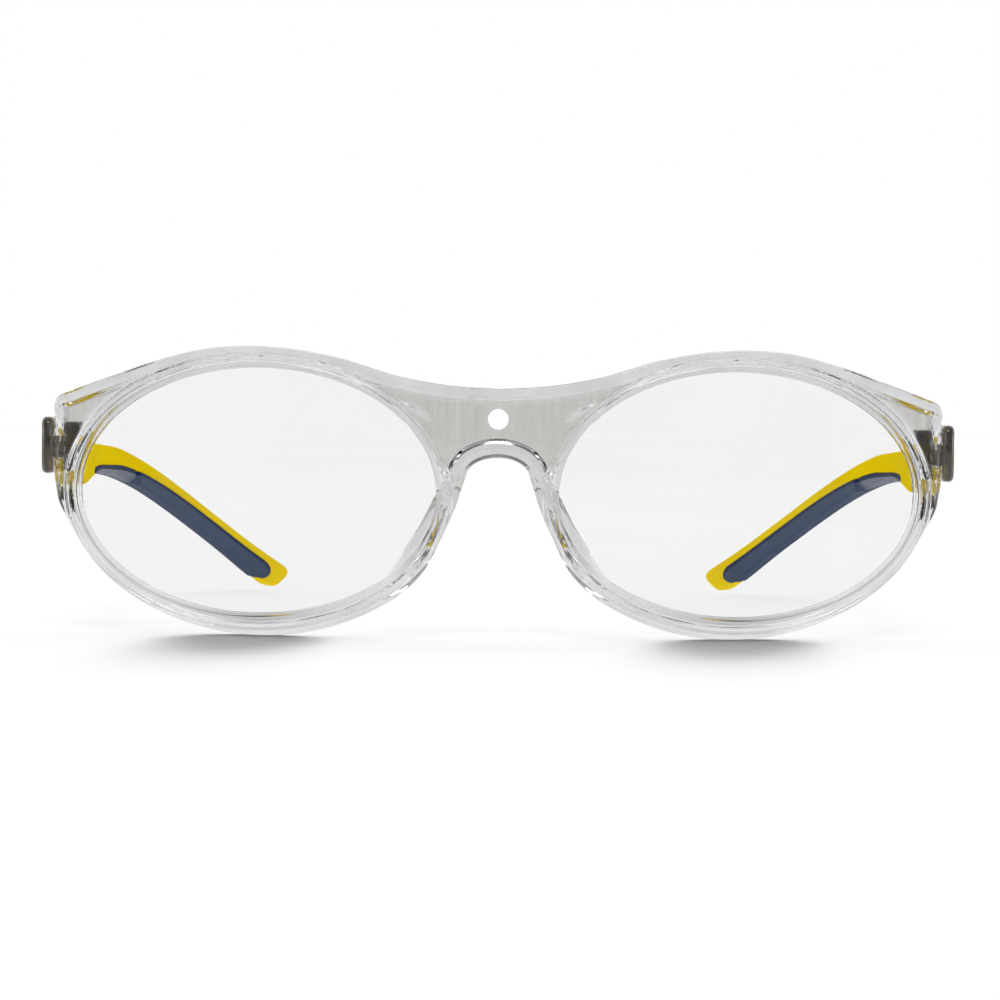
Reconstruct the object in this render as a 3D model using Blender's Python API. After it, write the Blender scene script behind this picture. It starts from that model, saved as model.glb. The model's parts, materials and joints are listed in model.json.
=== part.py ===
"""Safety spectacles ("sports protective goggles"): a clear moulded front with two
curved lenses, smoked hinge brackets latched through its side walls, and folding
two-colour temple arms.

Frame: +X to the wearer's left, the front faces -Y, +Z up, Z = 0 at the surface
the spectacles rest on. Lengths below are in millimetres and are scaled to metres
when each mesh is made. The front is drawn flat and then wrapped round the face.
"""
import math

import bmesh
import bpy
import numpy as np
from mathutils.geometry import delaunay_2d_cdt

MM = 0.001

# Overall placing
FRONT_Y = 0.03                       # foremost point of the front, drawn with its crest at Y = 0
TIP_Y = 130.377                      # rearmost point of the arm tips
Y_SHIFT = -(FRONT_Y + TIP_Y) / 2     # puts the origin under the middle of the box

# Wrap of the front round the face
WRAP_RADIUS = 220.0
WRAP_RADIUS_UP = 260.0

# Lens openings (ellipses)
EYE_X = 37.65
EYE_Z = 22.6
EYE_A = 28.15
EYE_B = 19.15
EYE_STEPS = 72

# Outline of the front, right half
BROW_KNOTS = ((0.0, 38.75), (8.0, 39.3), (15.5, 40.6), (25.0, 43.45), (33.2, 44.85), (38.5, 45.15),
              (45.5, 44.7), (54.5, 42.5), (62.0, 39.9), (68.6, 37.55))
CORNER_KNOTS = ((69.7, 36.7), (70.3, 35.3), (70.35, 30.0), (70.25, 24.5))
RIM_WIDTH_KNOTS = ((-4.0, 3.9), (-14.0, 2.85), (-35.0, 2.6), (-60.0, 2.9), (-90.0, 3.45),
                   (-125.0, 3.5), (-148.0, 3.2), (-161.0, 2.5), (-171.0, 2.85), (-180.0, 3.7))
ARCH_SIDE = (4.9, 25.06)
ARCH_TOP = 28.1
OUTLINE_STEP = 2.0

# Depths of the flat front (Y, before the wrap)
RIM_FRONT = 0.0
BAND_FRONT = 0.75                    # flat band next to the lens
WEB_FRONT = 1.5
BRIDGE_FRONT = 0.35
WEB_BACK = 3.5
RIM_BACK = 5.4
BROW_FRONT = 0.6
BROW_FOOT = 0.95
BROW_BACK = 6.4
WALL_BACK = 10.7
PAD_BACK = 10.0
ARCH_BACK = 4.4
RIM_SPAN = 3.0                       # width of the moulded rim seen from the front
SPAN_BRIDGE = 1.9                    # the same beside the bridge
CREST_AT = 0.6                       # place of the crest across that width
RIDGE_LOW = 3.45                     # width of the ridge behind the lens: round the bottom,
RIDGE_TOP = 2.3                      # over the top,
RIDGE_BRIDGE = 1.6                   # and beside the bridge
PAD_ROOT = 4.1
ARCH_ROOT = 2.05
GROOVE_AT = 2.6
BROW_WIDTH = 1.5
WALL_WIDTH = 1.4
FOOT = 0.15
PAD_SPLAY = 0.587
WALL_LEAN = 0.12
BRIDGE_HOLE_Z = 34.1
BRIDGE_HOLE_R = 1.6

# Lens and its groove
GROOVE_DEPTH = 1.2
GROOVE_FRONT = 1.9
GROOVE_BACK = 4.5
LENS_EDGE = 0.9
LENS_FRONT = 2.2
LENS_BACK = 4.2

# Hinge, right side
PIN_X = 67.5
PIN_Y = 21.0
PIN_R = 0.5
EAR_HOLE_R = 0.53
BARREL_HOLE_R = 0.56
BARREL_R = 1.2
BLOCK_X = (66.3, 68.6)
BLOCK_Y = (16.4, 19.3)
BLOCK_Z = (25.1, 33.0)
TONGUE_Z = (27.3, 30.8)
TONGUE_GAP = 0.3
LUG_Y = (16.6, 19.1)
LUG_Z = (27.4, 30.6)
LUG_END_X = 71.5
SLOT_GAP = 0.3
CAP_X = (70.7, 72.4)
CAP_Y = (14.0, 22.4)
CAP_Z = (24.8, 33.8)
CAP_CORNER = 1.6

# Temple arm: knots along the arm (Y, inner top edge X, inner top edge Z)
ARM_START_Y = 22.5
ARM_KNOTS = ((22.5, 66.5, 29.6), (45.0, 66.3, 29.1), (70.0, 65.4, 27.6), (85.0, 62.9, 24.9),
             (100.0, 58.6, 20.3), (112.0, 53.2, 14.8), (122.0, 46.7, 8.8), (130.5, 39.9, 3.3))
ARM_HEIGHT_KNOTS = ((22.5, 6.7), (26.5, 6.4), (31.5, 5.6), (38.0, 4.9), (60.0, 4.7), (85.0, 4.6),
                    (100.0, 4.6), (118.0, 4.7), (130.5, 5.4))
ARM_THICK_KNOTS = ((22.5, 3.2), (60.0, 3.1), (90.0, 2.7), (118.0, 2.5), (130.5, 2.6))
PAD_START_Y = 34.0
PAD_END_Y = 127.6
PAD_EDGE_KNOTS = ((34.0, 0.76), (50.0, 0.72), (70.0, 0.58), (85.0, 0.46), (100.0, 0.36), (127.6, 0.28))
PAD_RECESS = 1.4
PAD_GAP = 0.12
PAD_PROUD = 0.3
PAD_UNDER = 0.95                     # the pad's foot covers the arm's lower edge this far up
ARM_SHOULDER_TOP = 2.4
TIP_SLANT = 3.4                      # the tip's lower corner stays behind the upper one
TIP_ROUND_Y = 127.9
WALL_X_IN = 68.9

SEGMENTS = 24


# ---------------------------------------------------------------- helpers
def clear_scene():
    for item in list(bpy.data.objects):
        bpy.data.objects.remove(item, do_unlink=True)


def material(name, color, roughness, metallic=0.0, transmission=0.0):
    mat = bpy.data.materials.new(name)
    mat.use_nodes = True
    shader = mat.node_tree.nodes["Principled BSDF"]
    shader.inputs["Base Color"].default_value = (*color, 1.0)
    shader.inputs["Roughness"].default_value = roughness
    shader.inputs["Metallic"].default_value = metallic
    shader.inputs["Transmission Weight"].default_value = transmission
    return mat


def make_object(name, verts_mm, faces, mat, origin_mm=(0.0, 0.0, 0.0)):
    """One closed mesh, given in millimetres in the unshifted frame, with its origin at a point."""
    base = np.array(origin_mm, float)
    mesh = bpy.data.meshes.new(name)
    mesh.from_pydata(((np.array(verts_mm, float) - base) * MM).tolist(), [], faces)
    bm = bmesh.new()
    bm.from_mesh(mesh)
    bmesh.ops.remove_doubles(bm, verts=bm.verts, dist=1e-7)
    bmesh.ops.recalc_face_normals(bm, faces=bm.faces)
    bm.to_mesh(mesh)
    bm.free()
    mesh.update()
    obj = bpy.data.objects.new(name, mesh)
    obj.location = ((base[0]) * MM, (base[1] + Y_SHIFT) * MM, base[2] * MM)
    bpy.context.collection.objects.link(obj)
    obj.data.materials.append(mat)
    return obj


def boolean(obj, cutter, operation):
    """Applies one exact Boolean and removes the second object."""
    mod = obj.modifiers.new("bool", "BOOLEAN")
    mod.operation = operation
    mod.solver = "EXACT"
    mod.object = cutter
    bpy.context.view_layer.update()
    graph = bpy.context.evaluated_depsgraph_get()
    result = bpy.data.meshes.new_from_object(obj.evaluated_get(graph))
    obj.modifiers.clear()
    obj.data = result
    bpy.data.objects.remove(cutter, do_unlink=True)
    return obj


def smooth_interp(knots, values):
    """Monotone-ish cubic through (position, value) knots; works for several value columns."""
    table = np.array(sorted(knots), float)
    pos, val = table[:, 0], table[:, 1:]
    slope = np.gradient(val, pos, axis=0)
    values = np.clip(np.atleast_1d(np.array(values, float)), pos[0], pos[-1])
    i = np.clip(np.searchsorted(pos, values, side="right") - 1, 0, len(pos) - 2)
    h = (pos[i + 1] - pos[i])[:, None]
    u = ((values - pos[i])[:, None]) / h
    out = ((2 * u**3 - 3 * u**2 + 1) * val[i] + (u**3 - 2 * u**2 + u) * h * slope[i]
           + (-2 * u**3 + 3 * u**2) * val[i + 1] + (u**3 - u**2) * h * slope[i + 1])
    return out


def wrap_depth(x, z):
    return x * x / (2 * WRAP_RADIUS) + (z - EYE_Z) ** 2 / (2 * WRAP_RADIUS_UP)


def wrapped(points):
    """Flat (x, depth, z) to the wrapped shape."""
    pts = np.array(points, float)
    pts[:, 1] += wrap_depth(pts[:, 0], pts[:, 2])
    return pts


def mirror_x(points):
    pts = np.array(points, float)
    pts[:, 0] = -pts[:, 0]
    return pts


def prism(profile, low, high, axis):
    """Extrudes a closed 2-D profile between two values along the named axis."""
    count = len(profile)
    verts = []
    for level in (low, high):
        for u, v in profile:
            if axis == "x":
                verts.append((level, u, v))
            elif axis == "y":
                verts.append((u, level, v))
            else:
                verts.append((u, v, level))
    faces = [tuple(range(count))[::-1], tuple(range(count, 2 * count))]
    for i in range(count):
        j = (i + 1) % count
        faces.append((i, j, j + count, i + count))
    return verts, faces


def box(x, y, z):
    return prism([(x[0], y[0]), (x[1], y[0]), (x[1], y[1]), (x[0], y[1])], z[0], z[1], "z")


def circle(cx, cy, r, count=SEGMENTS):
    angles = [2 * math.pi * i / count for i in range(count)]
    return [(cx + r * math.cos(a), cy + r * math.sin(a)) for a in angles]


# ---------------------------------------------------------------- outline of the front
def eye_point(angle, offset, side=1.0):
    """Point at an offset along the normal of a lens opening."""
    c, s = np.cos(angle), np.sin(angle)
    n = np.stack([EYE_B * c, EYE_A * s], -1)
    n /= np.linalg.norm(n, axis=-1, keepdims=True)
    p = np.stack([EYE_X + EYE_A * c, EYE_Z + EYE_B * s], -1) + n * np.atleast_1d(offset)[:, None]
    return p * np.array([side, 1.0])


def bearing(x, z):
    """Bearing in degrees from the middle of the eye opening, 0 on the temple side, 90 at the top."""
    return np.degrees(np.arctan2((z - EYE_Z) / EYE_B, (x - EYE_X) / EYE_A))


def rim_span(x, z):
    angle = bearing(x, z)
    below = smooth_interp(RIM_WIDTH_KNOTS, np.clip(angle, -180.0, -4.0))[:, 0]
    beside_bridge = step_up(angle, 100.0, 135.0) * (1 - step_up(angle, 158.0, 178.0))
    above = RIM_SPAN + (SPAN_BRIDGE - RIM_SPAN) * beside_bridge
    return np.where(angle < -4.0, np.minimum(below, RIM_SPAN), above)


def ridge_width(x, z):
    """Width of the ridge behind the lens groove: broad round the bottom, narrow at the bridge."""
    angle = bearing(x, z)
    width = RIDGE_LOW + (RIDGE_TOP - RIDGE_LOW) * step_up(angle, 0.0, 15.0)
    width = width + (RIDGE_BRIDGE - RIDGE_TOP) * step_up(angle, 112.0, 138.0)
    return width + (RIDGE_LOW - RIDGE_BRIDGE) * step_up(angle, 164.0, 179.0)


def resample(points, step):
    pts = np.array(points, float)
    length = np.concatenate([[0], np.cumsum(np.linalg.norm(np.diff(pts, axis=0), axis=1))])
    count = max(2, int(round(length[-1] / step)) + 1)
    at = np.linspace(0, length[-1], count)
    return np.stack([np.interp(at, length, pts[:, k]) for k in (0, 1)], 1)


def half_outline():
    """Right half, from the top of the bridge round the eye to the top of the nose arch."""
    xs = np.linspace(0, BROW_KNOTS[-1][0], 200)
    brow = np.concatenate([xs[:, None], smooth_interp(BROW_KNOTS, xs)], 1)
    brow = np.vstack([resample(brow, OUTLINE_STEP), CORNER_KNOTS[:1]])
    side = np.array(CORNER_KNOTS[1:])
    side = np.vstack([side[:1], resample(side, OUTLINE_STEP)[1:]])
    angles = np.linspace(-4.0, -180.0, 400)
    rim = eye_point(np.radians(angles), smooth_interp(RIM_WIDTH_KNOTS, angles)[:, 0])
    rim = resample(rim, OUTLINE_STEP)
    turn = np.linspace(0, math.pi / 2, 7)
    rise = ARCH_TOP - ARCH_SIDE[1]
    arch = np.stack([ARCH_SIDE[0] * np.cos(turn), ARCH_SIDE[1] + rise * np.sin(turn)], 1)
    return brow, side, rim, arch


def full_loop(half):
    """Closes a right half whose ends lie on X = 0 with its mirror image."""
    left = half[1:-1][::-1] * np.array([-1.0, 1.0])
    return np.vstack([half, left])


def both_sides(open_line):
    """A line from X = 0 outwards, with its mirror image, as one line."""
    return np.vstack([open_line[::-1] * np.array([-1.0, 1.0]), open_line[1:]])


def distance(points, line, closed=False):
    """Least distance from each point to a polyline."""
    a = line
    b = np.roll(line, -1, axis=0)
    if not closed:
        a, b = a[:-1], b[:-1]
    d = b - a
    best = np.full(len(points), 1e9)
    for p, v in zip(a, d):
        t = np.clip(((points - p) @ v) / max(v @ v, 1e-12), 0, 1)
        best = np.minimum(best, np.linalg.norm(points - p - t[:, None] * v, axis=1))
    return best


def inside(points, polygon):
    x, z = points[:, 0], points[:, 1]
    hit = np.zeros(len(points), bool)
    for (x0, z0), (x1, z1) in zip(polygon, np.roll(polygon, -1, axis=0)):
        if z0 == z1:
            continue
        cross = (z0 > z) != (z1 > z)
        hit ^= cross & (x < (x1 - x0) * (z - z0) / (z1 - z0) + x0)
    return hit


def offset_line(line, amount):
    """Moves a polyline to its right-hand side, seen in travel direction."""
    tangent = np.gradient(line, axis=0)
    tangent /= np.linalg.norm(tangent, axis=1, keepdims=True)
    normal = np.stack([tangent[:, 1], -tangent[:, 0]], 1)
    return line + normal * amount


# ---------------------------------------------------------------- depth fields
def ridge(dist, width, top, base, foot=FOOT):
    """Height `top` within `width` of an edge, `base` beyond its foot."""
    t = np.clip((dist - width) / foot, 0, 1)
    return top + (base - top) * t


def step_up(value, low, high):
    t = np.clip((value - low) / (high - low), 0, 1)
    return t * t * (3 - 2 * t)


class Front:
    """Flat outline and depth fields of the moulded front."""

    def __init__(self):
        brow, side, rim, arch = half_outline()
        self.brow = both_sides(brow)
        self.side = np.vstack([brow[-1:], side, rim[:2]])
        self.nose = both_sides(np.vstack([arch[::-1], rim[::-1][:14]]))
        self.loop = full_loop(np.vstack([brow, side, rim, arch]))
        fine = np.radians(np.arange(0, 360, 2.0))
        self.eye = eye_point(fine, 0.0)

    def fields(self, p):
        q = np.abs(p[:, 0])
        folded = np.stack([q, p[:, 1]], 1)
        inner = distance(folded, self.eye, True)
        return (inner, distance(p, self.loop, True), distance(p, self.brow),
                distance(folded, self.side), distance(p, self.nose))

    def front_depth(self, p):
        inner, edge, brow, _, nose = self.fields(p)
        x, z = np.abs(p[:, 0]), p[:, 1]
        bridge = (1 - step_up(x, 12.0, 27.0)) * step_up(z, 19.0, 27.0)
        web = WEB_FRONT + (BRIDGE_FRONT - WEB_FRONT) * bridge
        band = BAND_FRONT - 0.35 * bridge
        across = inner / rim_span(x, z)
        within = RIM_FRONT + (band - RIM_FRONT) * step_up(CREST_AT - across, 0.03, 0.28)
        beyond = RIM_FRONT + (web - RIM_FRONT) * step_up(across - CREST_AT, 0.04, 0.34)
        depth = np.where(across < CREST_AT, within, beyond)
        depth = np.minimum(depth, ridge(brow, BROW_WIDTH, np.minimum(BROW_FRONT, web - 0.15), web, BROW_FOOT))
        peak = step_up(1 - np.abs(nose - 1.45) / 0.95, 0.0, 1.0)
        near_nose = step_up(22 - x, 0.0, 3.0) * step_up(33.5 - z, 0.0, 1.0)
        raised = np.maximum(depth - (0.22 + 0.3 * (1 - bridge)) * peak, RIM_FRONT - 0.1)
        depth = depth + (raised - depth) * near_nose
        reach = 0.8 - 0.45 * step_up(z - EYE_Z, 4.0, 12.0)
        return depth + np.clip(1.0 - edge / reach, 0, 1) * reach

    def pad_depth(self, z):
        rise = step_up(z, 6.5, 17.0) * (1 - step_up(z, 15.5, 28.0))
        top = RIM_BACK + (PAD_BACK - RIM_BACK) * rise
        return top + (ARCH_BACK - top) * step_up(z, 21.5, 27.5)

    def back_depth(self, p):
        inner, _, brow, side, nose = self.fields(p)
        x, z = np.abs(p[:, 0]), p[:, 1]
        brow_back = BROW_BACK + (WALL_BACK - BROW_BACK) * step_up(x, 44.0, 70.0)
        wall_back = RIM_BACK + (WALL_BACK - RIM_BACK) * step_up(z, 18.5, 23.0)
        depth = ridge(inner, ridge_width(x, z), RIM_BACK, WEB_BACK)
        depth = np.maximum(depth, ridge(brow, BROW_WIDTH, brow_back, WEB_BACK))
        depth = np.maximum(depth, ridge(side, WALL_WIDTH, wall_back, WEB_BACK))
        above = step_up(z, 24.0, 27.0)
        width = PAD_ROOT + (ARCH_ROOT - PAD_ROOT) * step_up(z, 24.0, 26.4)
        pad = ridge(nose, width, self.pad_depth(z), WEB_BACK, FOOT + (GROOVE_AT - ARCH_ROOT - FOOT) * above)
        pad = np.where(inner < 0.12, RIM_BACK, pad)
        return np.where((x < 24) & (z < 33), np.maximum(depth, pad), depth)

    def back_shift(self, p, depth):
        x, z = p[:, 0], p[:, 1]
        near_nose = (np.abs(x) < 24) & (z < 27)
        shift = np.where(near_nose, np.maximum(depth - RIM_BACK, 0) * PAD_SPLAY, 0)
        return shift * np.sign(x)


# ---------------------------------------------------------------- the moulded front
def front_points(shape):
    """Points and constraint edges of the flat front."""
    points, edges, loops = [], [], []

    def add(line, closed):
        start = len(points)
        points.extend(map(tuple, line))
        count = len(line)
        last = count if closed else count - 1
        edges.extend((start + i, start + (i + 1) % count) for i in range(last))
        return list(range(start, start + count))

    loops.append(add(shape.loop, True))
    angles = np.radians(np.arange(EYE_STEPS) * 360.0 / EYE_STEPS)
    for side in (1.0, -1.0):
        loops.append(add(eye_point(angles, 0.0, side), True))
    loops.append(add(np.array(circle(0.0, BRIDGE_HOLE_Z, BRIDGE_HOLE_R, 16)), True))

    def add_kept(line, keep):
        run = []
        for p, k in zip(line, keep):
            if k:
                run.append(p)
            else:
                if len(run) > 1:
                    add(np.array(run), False)
                run = []
        if len(run) > 1:
            add(np.array(run), False)

    round_trip = np.append(angles, angles[0])
    x, z = eye_point(round_trip, 0.0).T
    span, foot = rim_span(x, z), ridge_width(x, z)
    for side in (1.0, -1.0):
        for offset in [np.full(len(span), 0.12)] + [k * span for k in (0.32, 0.57, 0.64, 0.94)] + [
                foot, foot + FOOT]:
            line = eye_point(round_trip, offset, side)
            add_kept(line, inside(line, shape.loop) & (distance(line, shape.loop, True) > 0.25))
    fold = np.array([1.0, 1.0])
    for line, sign, widths in ((shape.brow, 1, (BROW_WIDTH, BROW_WIDTH + FOOT, BROW_WIDTH + BROW_FOOT)),
                               (shape.nose, -1, (0.5, 1.45, ARCH_ROOT, GROOVE_AT, PAD_ROOT, PAD_ROOT + FOOT)),
                               (shape.side, 1, (WALL_WIDTH, WALL_WIDTH + FOOT))):
        for width in widths:
            moved = offset_line(line, sign * width) * fold
            copies = [moved] if line is not shape.side else [moved, moved * np.array([-1.0, 1.0])]
            for copy in copies:
                ok = inside(copy, shape.loop) & (distance(copy, shape.loop, True) > width - 0.05)
                ok &= distance(np.abs(copy), shape.eye, True) > 0.25
                ok &= ~inside(np.abs(copy), shape.eye)
                add_kept(copy, ok)
    grid = [(x * 4.0, z * 3.5) for x in range(-18, 19) for z in range(0, 14)]
    grid = np.array(grid)
    placed = np.array(points)
    apart = np.min(np.linalg.norm(grid[:, None] - placed[None], axis=2), axis=1) > 1.3
    points.extend(map(tuple, grid[apart & inside(grid, shape.loop)]))
    return points, edges


def build_front(mat):
    shape = Front()
    points, edges = front_points(shape)
    flat, _, tris, _, _, _ = delaunay_2d_cdt(points, edges, [], 0, 1e-5)
    flat = np.array([tuple(v) for v in flat])
    tris = np.array([t for t in tris])
    middle = flat[tris].mean(axis=1)
    keep = inside(middle, shape.loop)
    keep &= ~inside(np.abs(middle) * np.array([1.0, 1.0]), shape.eye)
    hole = np.array(circle(0.0, BRIDGE_HOLE_Z, BRIDGE_HOLE_R, 16))
    keep &= ~inside(middle, hole)
    tris = tris[keep]
    used = np.unique(tris)
    remap = -np.ones(len(flat), int)
    remap[used] = np.arange(len(used))
    flat, tris = flat[used], remap[tris]

    front = shape.front_depth(flat)
    back = shape.back_depth(flat)
    shift = shape.back_shift(flat, back)
    count = len(flat)
    verts = [np.stack([flat[:, 0], front, flat[:, 1]], 1),
             np.stack([flat[:, 0] + shift, back, flat[:, 1]], 1)]
    area = np.cross(flat[tris[:, 1]] - flat[tris[:, 0]], flat[tris[:, 2]] - flat[tris[:, 0]])
    tris = np.where((area > 0)[:, None], tris, tris[:, ::-1])
    faces = [tuple(t) for t in tris] + [tuple(t[::-1] + count) for t in tris]

    border = {}
    for t in tris:
        for i in range(3):
            border[(t[i], t[(i + 1) % 3])] = True
    rims = [(a, b) for a, b in border if (b, a) not in border]
    in_eye = np.where(distance(np.abs(flat) * np.array([1.0, 1.0]), shape.eye, True) < 0.05)[0]
    in_eye = set(in_eye.tolist())
    is_edge = distance(flat, shape.loop, True) < 0.02
    extra, index = [], {}
    total = 2 * count

    def chain(v):
        """Vertices down the wall under a border vertex, front to back."""
        nonlocal total
        if v in index:
            return index[v]
        x, z = flat[v]
        ids = [v]
        if v in in_eye:
            side = 1.0 if x > 0 else -1.0
            c = (abs(x) - EYE_X) / EYE_A
            s = (z - EYE_Z) / EYE_B
            out = eye_point(np.array([math.atan2(s, c)]), GROOVE_DEPTH, side)[0]
            steps = [(x, GROOVE_FRONT, z), (out[0], GROOVE_FRONT, out[1]),
                     (out[0], GROOVE_BACK, out[1]), (x, GROOVE_BACK, z)]
        elif is_edge[v] and abs(x) < 24 and z < 27:
            deep = RIM_BACK - 0.2 if back[v] > RIM_BACK else 0.5 * (front[v] + back[v])
            steps = [(x + WALL_LEAN * shift[v], deep, z)]
        else:
            steps = []
        for s in steps:
            extra.append(s)
            ids.append(total)
            total += 1
        ids.append(v + count)
        index[v] = ids
        return ids

    for a, b in rims:
        left, right = chain(a), chain(b)
        i = j = 0
        while i < len(left) - 1 or j < len(right) - 1:
            if i < len(left) - 1 and (j >= len(right) - 1 or i / len(left) <= j / len(right)):
                faces.append((left[i], left[i + 1], right[j]))
                i += 1
            else:
                faces.append((left[i], right[j + 1], right[j]))
                j += 1
    if extra:
        verts.append(np.array(extra))
    obj = make_object("front_frame", wrapped(np.vstack(verts)), faces, mat)
    for side in (1.0, -1.0):
        x0, x1 = sorted((side * (WALL_X_IN - 2.0), side * 74.0))
        cut = box((x0, x1), (LUG_Y[0] - SLOT_GAP, LUG_Y[1] + SLOT_GAP),
                  (LUG_Z[0] - SLOT_GAP, LUG_Z[1] + SLOT_GAP))
        cutter = make_object("slot_cut", *cut, mat)
        boolean(obj, cutter, "DIFFERENCE")
    return obj


# ---------------------------------------------------------------- lenses
def build_lens(name, side, mat):
    rings, steps = 5, 48
    verts, faces = [], []
    for depth in (LENS_FRONT, LENS_BACK):
        verts.append((EYE_X * side, depth, EYE_Z))
        for r in range(1, rings + 1):
            k = r / rings
            for i in range(steps):
                a = 2 * math.pi * i / steps
                verts.append(((EYE_X + (EYE_A + LENS_EDGE) * k * math.cos(a)) * side, depth,
                              EYE_Z + (EYE_B + LENS_EDGE) * k * math.sin(a)))
    half = 1 + rings * steps
    for base, flip in ((0, False), (half, True)):
        for i in range(steps):
            j = (i + 1) % steps
            found = [(base, base + 1 + i, base + 1 + j)]
            for r in range(rings - 1):
                p, q = base + 1 + r * steps, base + 1 + (r + 1) * steps
                found.append((p + i, q + i, q + j, p + j))
            faces.extend(f[::-1] if flip else f for f in found)
    p = 1 + (rings - 1) * steps
    for i in range(steps):
        j = (i + 1) % steps
        faces.append((p + i, p + half + i, p + half + j, p + j))
    return make_object(name, wrapped(verts), faces, mat, (EYE_X * side, 0.0, EYE_Z))


# ---------------------------------------------------------------- hinge and clip
def ear_profile():
    """Plan view of the bracket's ears: straight from the block, round about the pin."""
    angles = [math.pi - math.pi * i / 12 for i in range(13)]
    profile = [(PIN_X + BARREL_R * math.cos(a), PIN_Y + BARREL_R * math.sin(a)) for a in angles]
    return [(PIN_X - BARREL_R, BLOCK_Y[1] - 0.5)] + profile + [(PIN_X + BARREL_R, BLOCK_Y[1] - 0.5)]


def sided(verts, side):
    return mirror_x(verts) if side < 0 else verts


def flipped(faces, side):
    return [f[::-1] for f in faces] if side < 0 else faces


def build_block(name, side, mat):
    def solid(data):
        return make_object("tool", sided(data[0], side), flipped(data[1], side), mat)

    z0, z1 = BLOCK_Z
    body = make_object(name, *reversed_pair(box(BLOCK_X, BLOCK_Y, BLOCK_Z), side), mat)
    boolean(body, solid(box((BLOCK_X[1] - 0.5, LUG_END_X), LUG_Y, LUG_Z)), "UNION")
    for low, high in ((z0, TONGUE_Z[0] - TONGUE_GAP), (TONGUE_Z[1] + TONGUE_GAP, z1)):
        boolean(body, solid(prism(ear_profile(), low, high, "z")), "UNION")
    bore = prism(circle(PIN_X, PIN_Y, EAR_HOLE_R), z0 - 1, z1 + 1, "z")
    return boolean(body, solid(bore), "DIFFERENCE")


def reversed_pair(data, side):
    return sided(data[0], side), flipped(data[1], side)


def build_cap(name, side, mat):
    y0, y1 = CAP_Y
    z0, z1 = CAP_Z
    c = CAP_CORNER
    profile = [(y0 + c, z0), (y1 - c, z0), (y1, z0 + c), (y1, z1 - c), (y1 - 0.3 * c, z1 - 0.3 * c),
               (y1 - c, z1), (y0 + c, z1), (y0 + 0.3 * c, z1 - 0.3 * c), (y0, z1 - c), (y0, z0 + c)]
    x0, x1 = CAP_X
    cy, cz = (y0 + y1) / 2, (z0 + z1) / 2
    count = len(profile)
    verts = [(x0, y, z) for y, z in profile] + [(x1 - 0.4, y, z) for y, z in profile]
    verts += [(x1, cy + (y - cy) * 0.91, cz + (z - cz) * 0.92) for y, z in profile]
    faces = [tuple(range(count))[::-1], tuple(range(2 * count, 3 * count))]
    for level in (0, count):
        for i in range(count):
            j = (i + 1) % count
            faces.append((level + i, level + j, level + j + count, level + i + count))
    cap = make_object(name, *reversed_pair((verts, faces), side), mat)
    gap = SLOT_GAP
    pocket = box((x0 - 1, LUG_END_X + gap), (LUG_Y[0] - gap, LUG_Y[1] + gap),
                 (LUG_Z[0] - gap, LUG_Z[1] + gap))
    cutter = make_object("tool", *reversed_pair(pocket, side), mat)
    return boolean(cap, cutter, "DIFFERENCE")


def build_pin(name, side, mat):
    data = prism(circle(PIN_X, PIN_Y, PIN_R), BLOCK_Z[0] + 0.2, BLOCK_Z[1] - 0.2, "z")
    return make_object(name, *reversed_pair(data, side), mat, (PIN_X * side, PIN_Y, 29.0))


# ---------------------------------------------------------------- temple arms
def arm_frames(at):
    """Inner top edge, inward and downward directions, height and thickness at each Y."""
    at = np.array(at, float)
    line = smooth_interp(ARM_KNOTS, at)
    eps = 0.5
    ahead, behind = smooth_interp(ARM_KNOTS, at + eps), smooth_interp(ARM_KNOTS, at - eps)
    hi = np.minimum(at + eps, ARM_KNOTS[-1][0])
    lo = np.maximum(at - eps, ARM_KNOTS[0][0])
    tangent = np.stack([ahead[:, 0] - behind[:, 0], hi - lo, ahead[:, 1] - behind[:, 1]], 1)
    tangent /= np.linalg.norm(tangent, axis=1, keepdims=True)
    point = np.stack([line[:, 0], at, line[:, 1]], 1)
    inward = np.stack([-tangent[:, 1], tangent[:, 0], np.zeros(len(at))], 1)
    inward /= np.linalg.norm(inward, axis=1, keepdims=True)
    down = np.cross(inward, tangent)
    down *= -np.sign(down[:, 2:3])
    blend = step_up(at, 24.0, 34.0)[:, None]
    down = down * blend + np.array([0.0, 0.0, -1.0]) * (1 - blend)
    down /= np.linalg.norm(down, axis=1, keepdims=True)
    height = smooth_interp(ARM_HEIGHT_KNOTS, at)[:, 0]
    thick = smooth_interp(ARM_THICK_KNOTS, at)[:, 0]
    return point, inward, down, height, thick


def sweep(sections, at):
    """Skins a list of closed sections (a inwards, b downwards) along the arm."""
    point, inward, down, height, _ = arm_frames(at)
    along = np.cross(inward, down)
    along *= np.sign(along[:, 1:2])
    lag = TIP_SLANT * step_up(np.array(at), 114.0, 130.0) / height
    verts = []
    for k, section in enumerate(sections):
        for a, b in section:
            verts.append(point[k] + inward[k] * a + down[k] * b - along[k] * lag[k] * b)
    count = len(sections[0])
    faces = [tuple(range(count))]
    last = (len(sections) - 1) * count
    faces.append(tuple(range(last, last + count))[::-1])
    for k in range(len(sections) - 1):
        for i in range(count):
            j = (i + 1) % count
            p, q = k * count, (k + 1) * count
            faces.append((p + i, q + i, q + j, p + j))
    return np.array(verts), faces


def arm_section(height, thick, split, recessed):
    c = 0.5
    edge = split * height
    upper = [(0.0, c), (-c, 0.0), (-thick + c, 0.0), (-thick, c)]
    if recessed:
        low = height - PAD_UNDER
        return upper + [(-thick, low - 0.3), (-thick, low), (-PAD_RECESS, low), (-PAD_RECESS, edge),
                        (0.0, edge)]
    return upper + [(-thick, height - c), (-thick + c, height), (-0.4, height), (0.0, height - 0.4),
                    (0.0, 0.5 * (edge + height) - 0.3)]


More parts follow.
